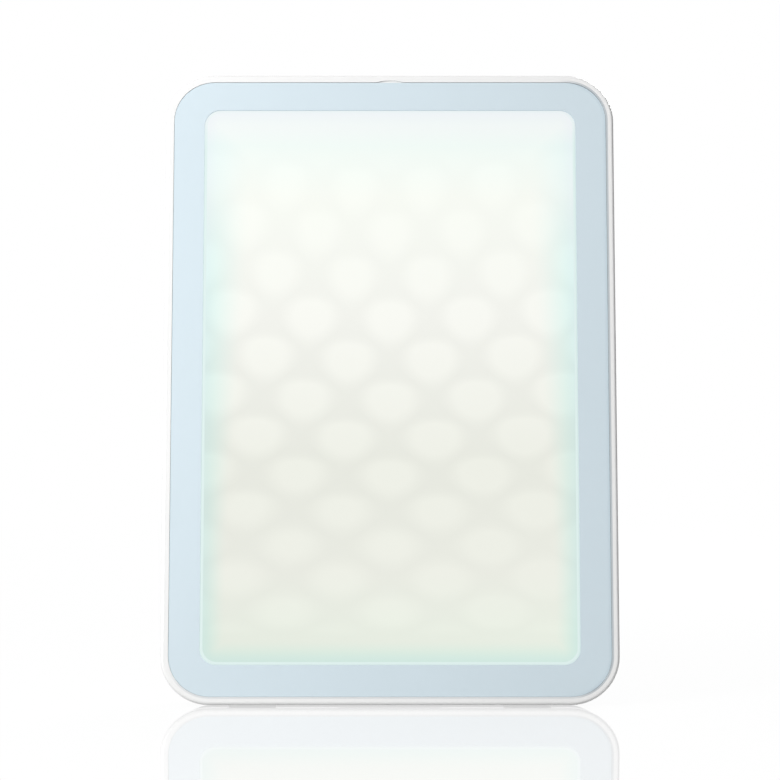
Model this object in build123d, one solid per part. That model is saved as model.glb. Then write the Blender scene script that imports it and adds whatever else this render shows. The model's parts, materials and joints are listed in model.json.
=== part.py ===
from build123d import *
from math import cos, hypot, radians, sin, tan
import os

# A light therapy lamp: a tablet-shaped housing that leans back on a fold-out leg. Every piece is modelled in the
# housing's own frame and set up at the end. In that frame X runs across the lamp as seen from behind, Y runs up
# the front face from its lower edge, and Z runs from the front face toward the back. All sizes are in millimetres.

# ---- housing ----
PANEL_W = 250.0  # across the widest point of the rim
PANEL_H = 360.0
CORNER_R = 27.0
TILT = 17.0  # degrees that the front face leans back
FLOOR_RELIEF = 2.0  # degrees that the side walls are drafted beyond the tilt, so the front edge stays lowest
EDGE_ROUND = 1.6  # front edge of the rim
BACK_ROUND = 8.0  # back edge of the cover
WALL = 2.4
SEAM_DEPTH = 9.0  # depth at which the bezel meets the cover
SEAM_GAP = 0.3
LIP_T = 1.4  # cover lip that reaches into the bezel
LIP_REACH = 2.5
LIP_ROOT = 3.0
LIP_CLEAR = 0.1
SKIRT_T = 2.2

# ---- front stack, each thickness along the depth ----
RIM_W = 4.2
FACE_DROP = 0.4  # front of the border below the rim
PANEL_GAP = 0.2  # between the panel's edge and the rim
BORDER_W = 16.9
BORDER_T = 1.2
WINDOW_R = 9.0
WINDOW_RISE = 0.7  # window centre above the panel's centre
WINDOW_DROP = 0.15  # face of the window below the border's
WINDOW_GAP = 0.1
WINDOW_EDGE = 0.5  # chamfer round the window
PANEL_T = 1.5
TAPE_T = 0.3
TAPE_W = 10.0
LEDGE_T = 1.8
LEDGE_CLEAR = 0.5  # the ledge's opening stands this far outside the window
DIFFUSER_T = 1.5
DIFFUSER_LAP = 4.0  # how far the diffuser reaches behind the ledge
DIFFUSER_R = 14.0
NOTCH_W = 15.0  # pry notch in the rim, top centre
NOTCH_IN = 1.1
NOTCH_T = 0.9

# ---- reflector tray and light engine ----
TRAY_WALL = 1.2
TRAY_FLANGE_T = 1.2
TRAY_SLOPE = 8.0  # degrees
TRAY_DEPTH = 5.3  # from the tray's mouth to the top of the cups
PLATE_T = 1.2  # web between the cups
CUP_DEPTH = 7.2
CUP_RIDGE = 1.8  # half the flat ridge between two cups
CUP_SHELL = 1.65  # across the cup's wall, along the plate
CUP_HOLE = 3.0  # from an LED's centre to the nearest side of its opening
CUP_EDGE_GAP = 1.5  # outermost cup corner to the tray's wall
FIRST_ROW_DROP = 44.5  # first row of LEDs below the window's top edge
LAST_ROW_RISE = 24.0  # no row stands lower than this above the window's lower edge
ROW_PITCH = 26.25
ROW_PITCH_STEP = 0.83  # each row stands closer to the next by this much
COLUMN_PITCH = 38.5
COLUMN_PITCH_STEP = 1.75  # each row is spread wider by this much
LED_COLUMNS = 2  # farthest column from the middle
LED_SIDE_GAP = 11.5  # outermost LED to the tray's wall
LED_SIZE = 3.0
LED_T = 0.8
LED_BOARD_T = 1.6
HEAT_PLATE_T = 1.0
HEAT_PLATE_TOP = 25.0  # board left bare above and below the plate
HEAT_PLATE_FOOT = 28.0
BOARD_SCREW_ROWS = (0, 9)  # the rows of LEDs that leave room at the sides
BOARD_SCREW_IN = 5.5  # from the tray's wall
BOARD_BOSS_R = 2.8

# ---- screws ----
SMALL_SCREW_R = 1.1
SMALL_HEAD_R = 2.2
SMALL_HEAD_T = 1.2
SMALL_SCREW_BITE = 5.0
THREAD_CLEAR = 0.02  # pilot hole round a screw
SCREW_R = 1.3
SCREW_HEAD_R = 2.7
SCREW_HEAD_T = 1.8
SCREW_BITE = 5.0
SCREW_PASS = 0.3  # clearance hole round a screw
HEAD_PASS = 0.5  # well round a screw's head
POST_R = 3.5
POST_IN = 13.0  # side screws, from the rim's edge
POST_CORNER_IN = 18.5
POST_ROW = 180.0  # height of the side screws
BOSS_T = 1.6  # wall of a screw well
BOSS_FLOOR = 4.0

# ---- room behind the light engine ----
REAR_ROOM = 11.8
VENT_W = 2.2
VENT_POINT = 0.7  # chamfer on a slot's corners
VENT_L = 44.0
VENT_PITCH = 6.0
VENT_COUNT = 7
VENT_X = 73.0
VENT_ROWS = (112.0, 186.0)  # height of the lowest slot of each group

# ---- leg and hinge ----
LEG_T = 6.5
LEG_TOP_W = 78.0
LEG_FOOT_W = 62.0
LEG_CORNER_R = 9.0
LEG_EDGE_R = 1.4
LEG_SKIN = 2.0
LEG_RIM = 2.4
LEG_RIB_T = 1.6
LEG_RIBS = 5
LEG_HEAD = 9.0  # solid stretch below the hinge axis
LEG_TOE = 9.0  # solid stretch above the rubber pad
HINGE_HEIGHT = 228.0
FOLD_ANGLE = 30.0
HEEL = 5.0  # the leg's end above the hinge axis, which bears on the cover
HEEL_GAP = 0.05
SWEEP_CLEAR = 0.3
POCKET_DEPTH = 3.0
POCKET_FLOOR_GAP = 0.4
POCKET_SIDE_GAP = 0.8
LUG_R = 5.0
LUG_W = 9.0
LUG_BASE = 18.0
LUG_GAP = 0.5
PIN_R = 1.6
PIN_LUG_CLEAR = 0.02
PIN_LEG_CLEAR = 0.06
PIN_PLUG_T = 1.5  # plugs that close the lugs' bores
PAD_T = 4.0
PAD_TONGUE = (30.0, 5.0, 2.6)

# ---- feet ----
FOOT_PROUD = 0.8  # the front edge stands this high over the table
FOOT_SIDE = 50.0  # from the rim's widest point to a foot's middle
FOOT_DEPTH = 17.0
FOOT_L = 26.0
FOOT_W = 11.0
FOOT_TOP = 2.8
FOOT_CHAMFER = 0.3

# ---- driver board and button ----
DRIVER_W = 120.0
DRIVER_H = 76.0
DRIVER_T = 1.6
DRIVER_UP = 300.0  # height of the board's centre, which is the button's
DRIVER_GAP = 2.2  # from the heat plate
STANDOFF_R = 3.0
STANDOFF_IN = 5.0
BUTTON_R = 7.5
BUTTON_CLEAR = 0.35
BUTTON_PROUD = 0.8
BUTTON_EDGE = 0.5  # chamfer
BUTTON_RECESS_R = 5.6
BUTTON_RECESS = 0.4
BUTTON_FLANGE = 1.7
BUTTON_FLANGE_T = 1.4
BUTTON_REST_GAP = 0.2
BUTTON_TRAVEL = 1.1
BUTTON_STEM_R = 2.4
SWITCH_SIDE = 6.2
SWITCH_T = 3.4
PLUNGER_R = 1.7
PLUNGER_OUT = 1.2
PLUNGER_IN = 1.8
PLUNGER_CLEAR = 0.1

# ---- parts on the driver board, each placed from the board's centre ----
COIL_AT = (-32.0, -14.0)
COIL_SIDE = 12.6
COIL_BASE_T = 1.0
COIL_R = 6.0
COIL_T = 5.0
CAN_R = 4.0
CAN_L = 12.0
CAN_X = 30.0
CAN_ROWS = (-16.0, -5.0)
CAN_EDGE = 0.6
POWER_CHIP = (-32.0, 12.0, 5.0, 6.2, 1.6)  # across, up, width, height, thickness
SMALL_CHIP = (-14.0, 16.0, 4.0, 5.0, 1.6)
WIDE_CHIP = (28.0, 14.0, 6.6, 6.2, 2.3)

# ---- inlet and leads ----
JACK_SIDE = 50.0  # from the rim's widest point to the inlet
JACK_UP = 34.0
JACK_FLANGE_R = 5.6
JACK_FLANGE_T = 1.2
JACK_R = 4.0
JACK_REAR_R = 3.5
JACK_REAR_T = 2.5
JACK_L = 10.0
JACK_FIT = 0.1
JACK_BORE_R = 3.0
JACK_BORE_L = 9.5
JACK_PIN_R = 1.05
JACK_PIN_L = 8.8
NUT_SIDE = 10.0
NUT_T = 2.2
TAG_W = 2.0
TAG_T = 0.5
TAG_L = 8.0
LEAD_R = 0.8
LEAD_PITCH = 3.0
LEAD_BEND = 10.0
PLUG_SIZE = (7.0, 5.0, 4.4)
HEADER_SIZE = (8.0, 6.0, 4.8)
LOW_PLUG_T = 2.6  # the flat plug on the LED board
LOW_HEADER_T = 3.8  # its socket
DC_SOCKET_IN = 15.0  # from the driver board's side to the supply socket
DC_CROSS_START = 46.0  # the supply leads turn toward their socket this far below the board
DC_CROSS_END = 12.0
LED_SOCKET_DROP = 14.0  # from the driver board's upper edge
LED_LEAD_RISE = 4.0
LED_LEAD_RUNS = (8.0, 18.0, 26.0)  # from the driver board's side to each bend and to the LED board's plug
CLIP_ROWS = (90.0, 148.0, 206.0)
CLIP_SIZE = (10.0, 6.0)
CLIP_SKIN = 0.8
CLIP_CLEAR = 0.05

# ---- depths that follow from the stack ----
BORDER_D = FACE_DROP
SHEET_D = BORDER_D + BORDER_T
TAPE_D = SHEET_D + PANEL_T
LEDGE_D = TAPE_D + TAPE_T
DIFFUSER_D = LEDGE_D + LEDGE_T
TRAY_D = DIFFUSER_D + DIFFUSER_T
PLATE_D = TRAY_D + TRAY_DEPTH
LED_BOARD_D = PLATE_D + CUP_DEPTH
HEAT_PLATE_D = LED_BOARD_D + LED_BOARD_T
REAR_D = HEAT_PLATE_D + HEAT_PLATE_T
SKIN_D = REAR_D + REAR_ROOM
PANEL_D = SKIN_D + WALL
BOSS_D = PLATE_D + PLATE_T
DRIVER_D = REAR_D + DRIVER_GAP
DRIVER_BACK = DRIVER_D + DRIVER_T

# ---- sizes that follow from the others ----
DRAFT = TILT + FLOOR_RELIEF
EDGE_SPREAD = EDGE_ROUND * (tan(radians(DRAFT)) + 1 / cos(radians(DRAFT)) - 1)
PANEL_IN = RIM_W + PANEL_GAP
WINDOW_W = PANEL_W - 2 * (PANEL_IN + BORDER_W)
WINDOW_H = PANEL_H - 2 * (PANEL_IN + BORDER_W)
WINDOW_UP = PANEL_H / 2 + WINDOW_RISE
CAVITY_HALF = WINDOW_W / 2 + LEDGE_CLEAR - TRAY_DEPTH * tan(radians(TRAY_SLOPE))
CUP_LIMIT = CAVITY_HALF - CUP_EDGE_GAP
LED_LIMIT = CAVITY_HALF - LED_SIDE_GAP
FOOT_X = PANEL_W / 2 - FOOT_SIDE
JACK_X = PANEL_W / 2 - JACK_SIDE
HINGE_D = PANEL_D - POCKET_DEPTH + POCKET_FLOOR_GAP + LEG_T / 2
LEG_LEAN = FOLD_ANGLE - TILT  # of the open leg, from the vertical
LIFT = FOOT_PROUD - EDGE_ROUND * (cos(radians(TILT)) - sin(radians(TILT)) - 1)
PANEL_PLANE = Plane(origin=(0, 0, LIFT), x_dir=(-1, 0, 0), z_dir=(0, cos(radians(TILT)), -sin(radians(TILT))))
HINGE_Z = PANEL_PLANE.from_local_coords(Vector(0, HINGE_HEIGHT, HINGE_D)).Z
LEG_L = HINGE_Z / cos(radians(LEG_LEAN))
LEG_END = LEG_L + LEG_T / 2 * tan(radians(LEG_LEAN))


# ---- helpers ----
def at(x, y, z):
    return Location((x, y, z))


def outline(inset, radius=None):
    """The housing's rounded outline, drawn inward by inset."""
    r = CORNER_R - inset if radius is None else radius
    return Pos(0, PANEL_H / 2) * RectangleRounded(PANEL_W - 2 * inset, PANEL_H - 2 * inset, r)


def window(grow, radius=None):
    """The window's rounded outline, drawn outward by grow."""
    r = WINDOW_R + grow if radius is None else radius
    return Pos(0, WINDOW_UP) * RectangleRounded(WINDOW_W + 2 * grow, WINDOW_H + 2 * grow, r)


def slab(sketch, start, stop, taper=0.0):
    """The sketch made solid between two depths."""
    return extrude(Pos(0, 0, start) * sketch, stop - start, taper=taper)


def wall_inset(depth):
    """How far the drafted outer wall stands inside the rim's widest outline."""
    return depth * tan(radians(DRAFT)) - EDGE_SPREAD


def drafted(inset, start, stop):
    """A block whose sides run parallel to the housing's drafted walls."""
    return slab(outline(wall_inset(start) + inset), start, stop, DRAFT)


def rod(x, y, radius, start, stop):
    return Pos(x, y, start) * Cylinder(radius, stop - start, align=(Align.CENTER, Align.CENTER, Align.MIN))


def brick(x, y, size, start):
    """A block of (width, height, depth) whose front face is at the depth start."""
    return Pos(x, y, start) * Box(*size, align=(Align.CENTER, Align.CENTER, Align.MIN))


def cross_rod(radius, x0, x1):
    """A rod along X on the hinge axis, in the leg's own frame."""
    turned = Cylinder(radius, x1 - x0, align=(Align.CENTER, Align.CENTER, Align.MIN))
    return Pos(x0, 0, 0) * Rot(0, 90, 0) * turned


def screw(x, y, radius, head_r, head_t, seat, tip):
    """A screw driven forward: its head lies behind the depth seat and its tip reaches forward to tip."""
    return rod(x, y, head_r, seat, seat + head_t) + rod(x, y, radius, tip, seat)


def post_places():
    """Where the six screws stand that hold the cover to the bezel."""
    corner_x, corner_y = PANEL_W / 2 - POST_CORNER_IN, PANEL_H - POST_CORNER_IN
    corners = [(s * corner_x, y) for s in (-1, 1) for y in (POST_CORNER_IN, corner_y)]
    sides = [(s * (PANEL_W / 2 - POST_IN), POST_ROW) for s in (-1, 1)]
    return corners + sides


# ---- front of the lamp ----
def front_bezel():
    block = drafted(0, 0, SEAM_DEPTH)
    block = fillet(block.edges().group_by(Axis.Z)[0], EDGE_ROUND)
    ring = block - slab(outline(RIM_W), 0, LEDGE_D) - slab(window(LEDGE_CLEAR), LEDGE_D, DIFFUSER_D)
    ring -= drafted(SKIRT_T, DIFFUSER_D, SEAM_DEPTH)
    ring -= pry_notch()
    for x, y in post_places():
        ring += rod(x, y, POST_R, DIFFUSER_D, PLATE_D)
        ring -= rod(x, y, SCREW_R + THREAD_CLEAR, BOSS_D + BOSS_FLOOR - screw_length(), PLATE_D)
    return ring


def pry_notch():
    """A shallow lens-shaped bite out of the rim's inner edge."""
    radius = (NOTCH_W**2 / 4 + NOTCH_IN**2) / (2 * NOTCH_IN)
    return rod(0, PANEL_H - RIM_W + NOTCH_IN - radius, radius, 0, NOTCH_T) & brick(
        0, PANEL_H - RIM_W, (NOTCH_W, 4 * NOTCH_IN, NOTCH_T), 0
    )


def border_frame():
    return slab(outline(PANEL_IN) - window(0), BORDER_D, SHEET_D)


def front_panel():
    sheet = slab(outline(PANEL_IN), SHEET_D, TAPE_D)
    raised = slab(window(-WINDOW_GAP), BORDER_D + WINDOW_DROP, SHEET_D)
    return sheet + chamfer(raised.edges().group_by(Axis.Z)[0], WINDOW_EDGE)


def panel_tape():
    return slab(outline(PANEL_IN) - outline(PANEL_IN + TAPE_W), TAPE_D, LEDGE_D)


def diffuser_sheet():
    return slab(window(DIFFUSER_LAP, DIFFUSER_R), DIFFUSER_D, TRAY_D)


# ---- light engine ----
def row_height(k):
    """Height of a row of LEDs, the topmost being row 0."""
    fall = ROW_PITCH * k - ROW_PITCH_STEP * k * (k - 1) / 2
    return WINDOW_UP + WINDOW_H / 2 - FIRST_ROW_DROP - fall


def lattice(u, k, limit):
    """A point of the staggered lattice: u columns from the middle, on row k, kept within limit of the middle."""
    x = u * (COLUMN_PITCH + COLUMN_PITCH_STEP * k)
    return max(-limit, min(limit, x)), row_height(k)


def led_sites():
    """Each LED's column and row. Even rows straddle the middle, and odd rows have an LED on it."""
    sites, k = [], 0
    while row_height(k) > WINDOW_UP - WINDOW_H / 2 + LAST_ROW_RISE:
        u = (k + 1) % 2 / 2
        while u <= LED_COLUMNS and u * (COLUMN_PITCH + COLUMN_PITCH_STEP * k) < CAVITY_HALF:
            sites += [(u, k)] + [(-u, k)] * (u > 0)
            u += 1
        k += 1
    return sites


def cup(u, k, mouth_cut, hole, start, stop):
    """A four-sided funnel round an LED, from the lattice's diamond less mouth_cut down to the LED's opening."""
    cx, cy = lattice(u, k, LED_LIMIT)
    corners = [lattice(*c, CUP_LIMIT) for c in ((u, k - 1), (u + 0.5, k), (u, k + 1), (u - 0.5, k))]
    sides = zip(corners, corners[1:] + corners[:1])
    reach = min(
        abs((x1 - x0) * (y0 - cy) - (x0 - cx) * (y1 - y0)) / hypot(x1 - x0, y1 - y0) for (x0, y0), (x1, y1) in sides
    )
    wide, narrow = 1 - mouth_cut / reach, hole / reach
    slope = (wide - narrow) / CUP_DEPTH
    rings = []
    for depth in (start, stop):
        share = narrow + slope * (LED_BOARD_D - depth)
        rings.append([(cx + (x - cx) * share, cy + (y - cy) * share, depth) for x, y in corners])
    mouth, floor = rings
    skirt = [(mouth[i], mouth[i - 3], floor[i - 3], floor[i]) for i in range(4)]
    return Solid(Shell([Face(Wire.make_polygon(loop)) for loop in (mouth, floor, *skirt)]))


def board_screw_places():
    return [(s * (CAVITY_HALF - BOARD_SCREW_IN), row_height(k)) for s in (-1, 1) for k in BOARD_SCREW_ROWS]


def tray_outline(depth, grow=0.0):
    """The tray's outer side at a depth, drawn outward by grow."""
    return window(LEDGE_CLEAR + TRAY_WALL + grow - (depth - TRAY_D) * tan(radians(TRAY_SLOPE)))


def tray_ear(x, y):
    """A lug that is clamped between a bezel post and a cover boss."""
    in_x, in_y = CAVITY_HALF - POST_R, WINDOW_H / 2 - POST_IN
    inner = (max(-in_x, min(in_x, x)), max(WINDOW_UP - in_y, min(WINDOW_UP + in_y, y)))
    circles = Pos(x, y) * Circle(POST_R + BOSS_T / 2) + Pos(*inner) * Circle(POST_R)
    return slab(make_hull(circles.edges()), PLATE_D, BOSS_D)


def reflector_tray():
    tray = slab(tray_outline(TRAY_D), TRAY_D, LED_BOARD_D, TRAY_SLOPE)
    tray += slab(window(DIFFUSER_LAP, DIFFUSER_R), TRAY_D, TRAY_D + TRAY_FLANGE_T)
    tray -= slab(tray_outline(TRAY_D, -TRAY_WALL), TRAY_D, PLATE_D, TRAY_SLOPE)
    tray -= slab(tray_outline(BOSS_D, -TRAY_WALL), BOSS_D, LED_BOARD_D, TRAY_SLOPE)
    tray += [tray_ear(x, y) for x, y in post_places()]
    tray += [cup(u, k, CUP_RIDGE - CUP_SHELL, CUP_HOLE + CUP_SHELL, PLATE_D, LED_BOARD_D) for u, k in led_sites()]
    over = PLATE_T / 2
    tray -= [cup(u, k, CUP_RIDGE, CUP_HOLE, PLATE_D - over, LED_BOARD_D + over) for u, k in led_sites()]
    for x, y in board_screw_places():
        tray += rod(x, y, BOARD_BOSS_R, PLATE_D, LED_BOARD_D)
        tray -= rod(x, y, SMALL_SCREW_R + THREAD_CLEAR, LED_BOARD_D - SMALL_SCREW_BITE, LED_BOARD_D)
    return tray - [rod(x, y, SCREW_R + SCREW_PASS, PLATE_D, BOSS_D) for x, y in post_places()]


def led_chips():
    places = [lattice(u, k, LED_LIMIT) for u, k in led_sites()]
    return [brick(x, y, (LED_SIZE, LED_SIZE, LED_T), LED_BOARD_D - LED_T) for x, y in places]


def led_board():
    board = slab(tray_outline(LED_BOARD_D), LED_BOARD_D, HEAT_PLATE_D)
    return board - board_screw_holes(LED_BOARD_D, HEAT_PLATE_D)


def heat_plate():
    plate = slab(tray_outline(LED_BOARD_D), HEAT_PLATE_D, REAR_D)
    low, high = WINDOW_UP - WINDOW_H / 2 + HEAT_PLATE_FOOT, WINDOW_UP + WINDOW_H / 2 - HEAT_PLATE_TOP
    kept = brick(0, (low + high) / 2, (PANEL_W, high - low, HEAT_PLATE_T), HEAT_PLATE_D)
    return (plate & kept) - board_screw_holes(HEAT_PLATE_D, REAR_D)


def board_screw_holes(start, stop):
    return [rod(x, y, SMALL_SCREW_R + SCREW_PASS, start, stop) for x, y in board_screw_places()]


def board_screws():
    tip = LED_BOARD_D - SMALL_SCREW_BITE + THREAD_CLEAR
    return [
        screw(x, y, SMALL_SCREW_R, SMALL_HEAD_R, SMALL_HEAD_T, REAR_D, tip) for x, y in board_screw_places()
    ]


def led_connector():
    width, height, _ = HEADER_SIZE
    x, y, _ = led_lead_points()[-1]
    return brick(x - (PLUG_SIZE[1] + height) / 2, y, (height, width, LOW_HEADER_T), HEAT_PLATE_D)


# ---- back cover ----
def cover_block(inset, start, stop, round_r):
    block = drafted(inset, start, stop)
    return fillet(block.edges().group_by(Axis.Z)[-1], round_r)


def screw_length():
    """From under a cover screw's head to its tip, with the end clearance of its pilot hole."""
    return BOSS_FLOOR + PLATE_T + SCREW_BITE


def lug_places():
    inner = LEG_TOP_W / 2 + LUG_GAP
    return [(-inner - LUG_W, -inner), (inner, inner + LUG_W)]


def hinge_lug(x0, x1):
    """A rounded ear on the cover's back that holds one end of the hinge pin."""
    base = Pos(HINGE_HEIGHT, PANEL_D - WALL / 2) * Rectangle(LUG_BASE, WALL)
    side = make_hull((base + Pos(HINGE_HEIGHT, HINGE_D) * Circle(LUG_R)).edges())
    return extrude(Plane(origin=(x0, 0, 0), x_dir=(0, 1, 0), z_dir=(1, 0, 0)) * side, x1 - x0)


def heel_well():
    """The hollow that the leg's heel sweeps, ending at the ramp that stops the open leg."""
    radius = hypot(HEEL, LEG_T / 2) + SWEEP_CLEAR
    half = LEG_TOP_W / 2 + POCKET_SIDE_GAP
    ramp = -LEG_T / 2 - HEEL_GAP
    free = Pos(0, 0, ramp) * Box(2 * half, 4 * radius, 4 * radius, align=(Align.CENTER, Align.CENTER, Align.MIN))
    return at(0, HINGE_HEIGHT, HINGE_D) * (cross_rod(radius, -half, half) & (Rot(-FOLD_ANGLE, 0, 0) * free))


def heel_block():
    """Extra plastic inside the cover, behind the heel's well."""
    radius = hypot(HEEL, LEG_T / 2) + SWEEP_CLEAR + WALL
    half = LEG_TOP_W / 2 + POCKET_SIDE_GAP + WALL
    return at(0, HINGE_HEIGHT, HINGE_D) * cross_rod(radius, -half, half)


def vent_slots():
    """Four groups of slots with chamfered ends, two on each side of the leg."""
    slot = chamfer(Rectangle(VENT_L, VENT_W).vertices(), VENT_POINT)
    places = [(s * VENT_X, y + i * VENT_PITCH) for s in (-1, 1) for y in VENT_ROWS for i in range(VENT_COUNT)]
    return [slab(Pos(x, y) * slot, SKIN_D, PANEL_D) for x, y in places]


def standoff_places():
    x, y = DRIVER_W / 2 - STANDOFF_IN, DRIVER_H / 2 - STANDOFF_IN
    return [(s * x, DRIVER_UP + t * y) for s in (-1, 1) for t in (-1, 1)]


def back_cover():
    start = SEAM_DEPTH + SEAM_GAP
    outer = cover_block(0, start, PANEL_D, BACK_ROUND)
    wall = WALL / cos(radians(DRAFT))
    solid = outer - cover_block(wall, start, SKIN_D, BACK_ROUND - WALL)
    solid += cover_lip(start)
    inside = slab(leg_pocket_outline(WALL), PANEL_D - POCKET_DEPTH - WALL, PANEL_D) + heel_block()
    for x, y in post_places():
        inside += rod(x, y, SCREW_HEAD_R + HEAD_PASS + BOSS_T, BOSS_D, PANEL_D)
    for x, y in standoff_places():
        inside += rod(x, y, STANDOFF_R, DRIVER_BACK, PANEL_D - WALL / 2)
    solid += inside & cover_block(0, SEAM_DEPTH, PANEL_D, BACK_ROUND)
    solid -= slab(leg_pocket_outline(0), PANEL_D - POCKET_DEPTH, PANEL_D)
    solid -= heel_well()
    solid += [hinge_lug(*span) for span in lug_places()]
    return solid - cover_holes()


def cover_lip(start):
    """The lip that slides inside the bezel's skirt and locates the two shells."""
    outer = SKIRT_T + LIP_CLEAR
    return drafted(outer, start - LIP_REACH, start + LIP_ROOT) - drafted(
        outer + LIP_T, start - LIP_REACH, start + LIP_ROOT
    )


def cover_holes():
    """Everything that goes through the cover: screws, pin, button, inlet, pilot holes and vents."""
    holes = vent_slots()
    for x, y in post_places():
        holes.append(rod(x, y, SCREW_R + SCREW_PASS, BOSS_D, BOSS_D + BOSS_FLOOR))
        holes.append(rod(x, y, SCREW_HEAD_R + HEAD_PASS, BOSS_D + BOSS_FLOOR, PANEL_D))
    for x, y in standoff_places():
        holes.append(rod(x, y, SMALL_SCREW_R + THREAD_CLEAR, DRIVER_BACK, DRIVER_BACK + SMALL_SCREW_BITE))
    half = LEG_TOP_W / 2 + LUG_GAP + LUG_W
    holes.append(at(0, HINGE_HEIGHT, HINGE_D) * cross_rod(PIN_R + PIN_LUG_CLEAR, -half, half))
    holes.append(rod(0, DRIVER_UP, BUTTON_R + BUTTON_CLEAR, SKIN_D, PANEL_D))
    holes.append(rod(JACK_X, JACK_UP, JACK_R + JACK_FIT, SKIN_D, PANEL_D))
    return holes


def cover_screws():
    seat = BOSS_D + BOSS_FLOOR
    tip = seat - screw_length() + THREAD_CLEAR
    return [screw(x, y, SCREW_R, SCREW_HEAD_R, SCREW_HEAD_T, seat, tip) for x, y in post_places()]


# ---- leg, in its own frame: the hinge axis on X, the foot toward -Y, the outer face toward +Z ----
def leg_outline(grow):
    top, foot = LEG_TOP_W / 2 + grow, LEG_FOOT_W / 2 + grow
    high, low = HEEL + grow, -LEG_END - grow
    blank = Polygon((-foot, low), (foot, low), (top, high), (-top, high), align=None)
    return fillet(blank.vertices().group_by(Axis.Y)[0], LEG_CORNER_R + grow)


def leg_pocket_outline(grow):
    return Pos(0, HINGE_HEIGHT) * leg_outline(POCKET_SIDE_GAP + grow)


def leg_blank():
    """The whole leg with its rubber end, cut so that the end lies flat on the table when the leg is open."""
    half = LEG_T / 2
    plate = Pos(0, 0, -half) * extrude(leg_outline(0), LEG_T)
    plate = fillet(plate.edges().group_by(Axis.Z)[-1], LEG_EDGE_R)
    drop = half * tan(radians(LEG_LEAN))
    side = Polygon((HEEL, -half), (HEEL, half), (-LEG_L - drop, half), (-LEG_L + drop, -half), align=None)
    return plate & extrude(Plane.YZ * side, LEG_TOP_W, both=True)


def leg_tongue():
    width, reach, thick = PAD_TONGUE
    return Pos(0, -LEG_L + PAD_T + reach / 2, 0) * Box(width, reach, thick)


def leg_split():
    """The stretch of the leg that is rubber."""
    return Pos(0, -LEG_L + PAD_T, 0) * Box(LEG_TOP_W, LEG_L, 2 * LEG_T, align=(Align.CENTER, Align.MAX, Align.CENTER))


def leg_hollows():
    """Open cells on the leg's inner face, between its rim, a middle rib and evenly spaced cross ribs."""
    top, foot = -LEG_HEAD, -LEG_L + PAD_T + LEG_TOE
    cells = leg_outline(-LEG_RIM) & Pos(0, (top + foot) / 2) * Rectangle(LEG_TOP_W, top - foot)
    cells -= Pos(0, (top + foot) / 2) * Rectangle(LEG_RIB_T, top - foot)
    step = (top - foot) / (LEG_RIBS + 1)
    cells -= [Pos(0, foot + step * (i + 1)) * Rectangle(LEG_TOP_W, LEG_RIB_T) for i in range(LEG_RIBS)]
    return Pos(0, 0, -LEG_T / 2) * extrude(cells, LEG_T - LEG_SKIN)


def stand_leg():
    bore = cross_rod(PIN_R + PIN_LEG_CLEAR, -LEG_TOP_W / 2, LEG_TOP_W / 2)
    return leg_blank() - leg_split() - leg_tongue() - leg_hollows() - bore


def leg_pad():
    return (leg_blank() & leg_split()) + leg_tongue()


def hinge_pin():
    half = LEG_TOP_W / 2 + LUG_GAP + LUG_W - PIN_PLUG_T
    return chamfer(cross_rod(PIN_R, -half, half).edges().filter_by(GeomType.CIRCLE), PIN_R / 6)


def pin_plugs():
    half = LEG_TOP_W / 2 + LUG_GAP + LUG_W
    return [cross_rod(PIN_R, -half, PIN_PLUG_T - half), cross_rod(PIN_R, half - PIN_PLUG_T, half)]


# ---- feet ----
def foot_pads():
    """Rubber feet under the lower wall, shaped to it above and flat on the table below. Already set up."""
    spot = PANEL_PLANE.from_local_coords(Vector(FOOT_X, wall_inset(FOOT_DEPTH), FOOT_DEPTH))
    blank = extrude(RectangleRounded(FOOT_L, FOOT_W, FOOT_W / 3), FOOT_TOP)
    blank = chamfer(blank.edges().group_by(Axis.Z)[0], FOOT_CHAMFER)
    housing = PANEL_PLANE.location * cover_block(0, SEAM_DEPTH, PANEL_D, BACK_ROUND)
    return [Pos(s * spot.X, spot.Y) * blank - housing for s in (-1, 1)]


# ---- driver board, switch and button ----
def driver_board():
    board = slab(Pos(0, DRIVER_UP) * RectangleRounded(DRIVER_W, DRIVER_H, 2), DRIVER_D, DRIVER_BACK)
    return board - [rod(x, y, SMALL_SCREW_R + SCREW_PASS, DRIVER_D, DRIVER_BACK) for x, y in standoff_places()]


def driver_screws():
    """Screws that come from the front of the board and go back into the cover's standoffs."""
    made = []
    for x, y in standoff_places():
        head = rod(x, y, SMALL_HEAD_R, DRIVER_D - SMALL_HEAD_T, DRIVER_D)
        made.append(head + rod(x, y, SMALL_SCREW_R, DRIVER_D, DRIVER_BACK + SMALL_SCREW_BITE - THREAD_CLEAR))
    return made


def power_inductor():
    x, up = COIL_AT
    top = DRIVER_BACK + COIL_BASE_T
    base = brick(x, DRIVER_UP + up, (COIL_SIDE, COIL_SIDE, COIL_BASE_T), DRIVER_BACK)
    return base + rod(x, DRIVER_UP + up, COIL_R, top, top + COIL_T)


def capacitors():
    """Two electrolytic cans that lie on the board."""
    can = Cylinder(CAN_R, CAN_L)
    can = chamfer(can.edges().group_by(Axis.Z)[-1], CAN_EDGE)
    return [Pos(CAN_X, DRIVER_UP + up, DRIVER_BACK + CAN_R) * Rot(0, 90, 0) * can for up in CAN_ROWS]


def driver_chips():
    chips = (POWER_CHIP, SMALL_CHIP, WIDE_CHIP)
    return [brick(x, DRIVER_UP + up, (w, h, t), DRIVER_BACK) for x, up, w, h, t in chips]


def switch_body():
    body = brick(0, DRIVER_UP, (SWITCH_SIDE, SWITCH_SIDE, SWITCH_T), DRIVER_BACK)
    top = DRIVER_BACK + SWITCH_T
    return body - rod(0, DRIVER_UP, PLUNGER_R + PLUNGER_CLEAR, top - PLUNGER_IN - BUTTON_TRAVEL - PLUNGER_CLEAR, top)


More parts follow.
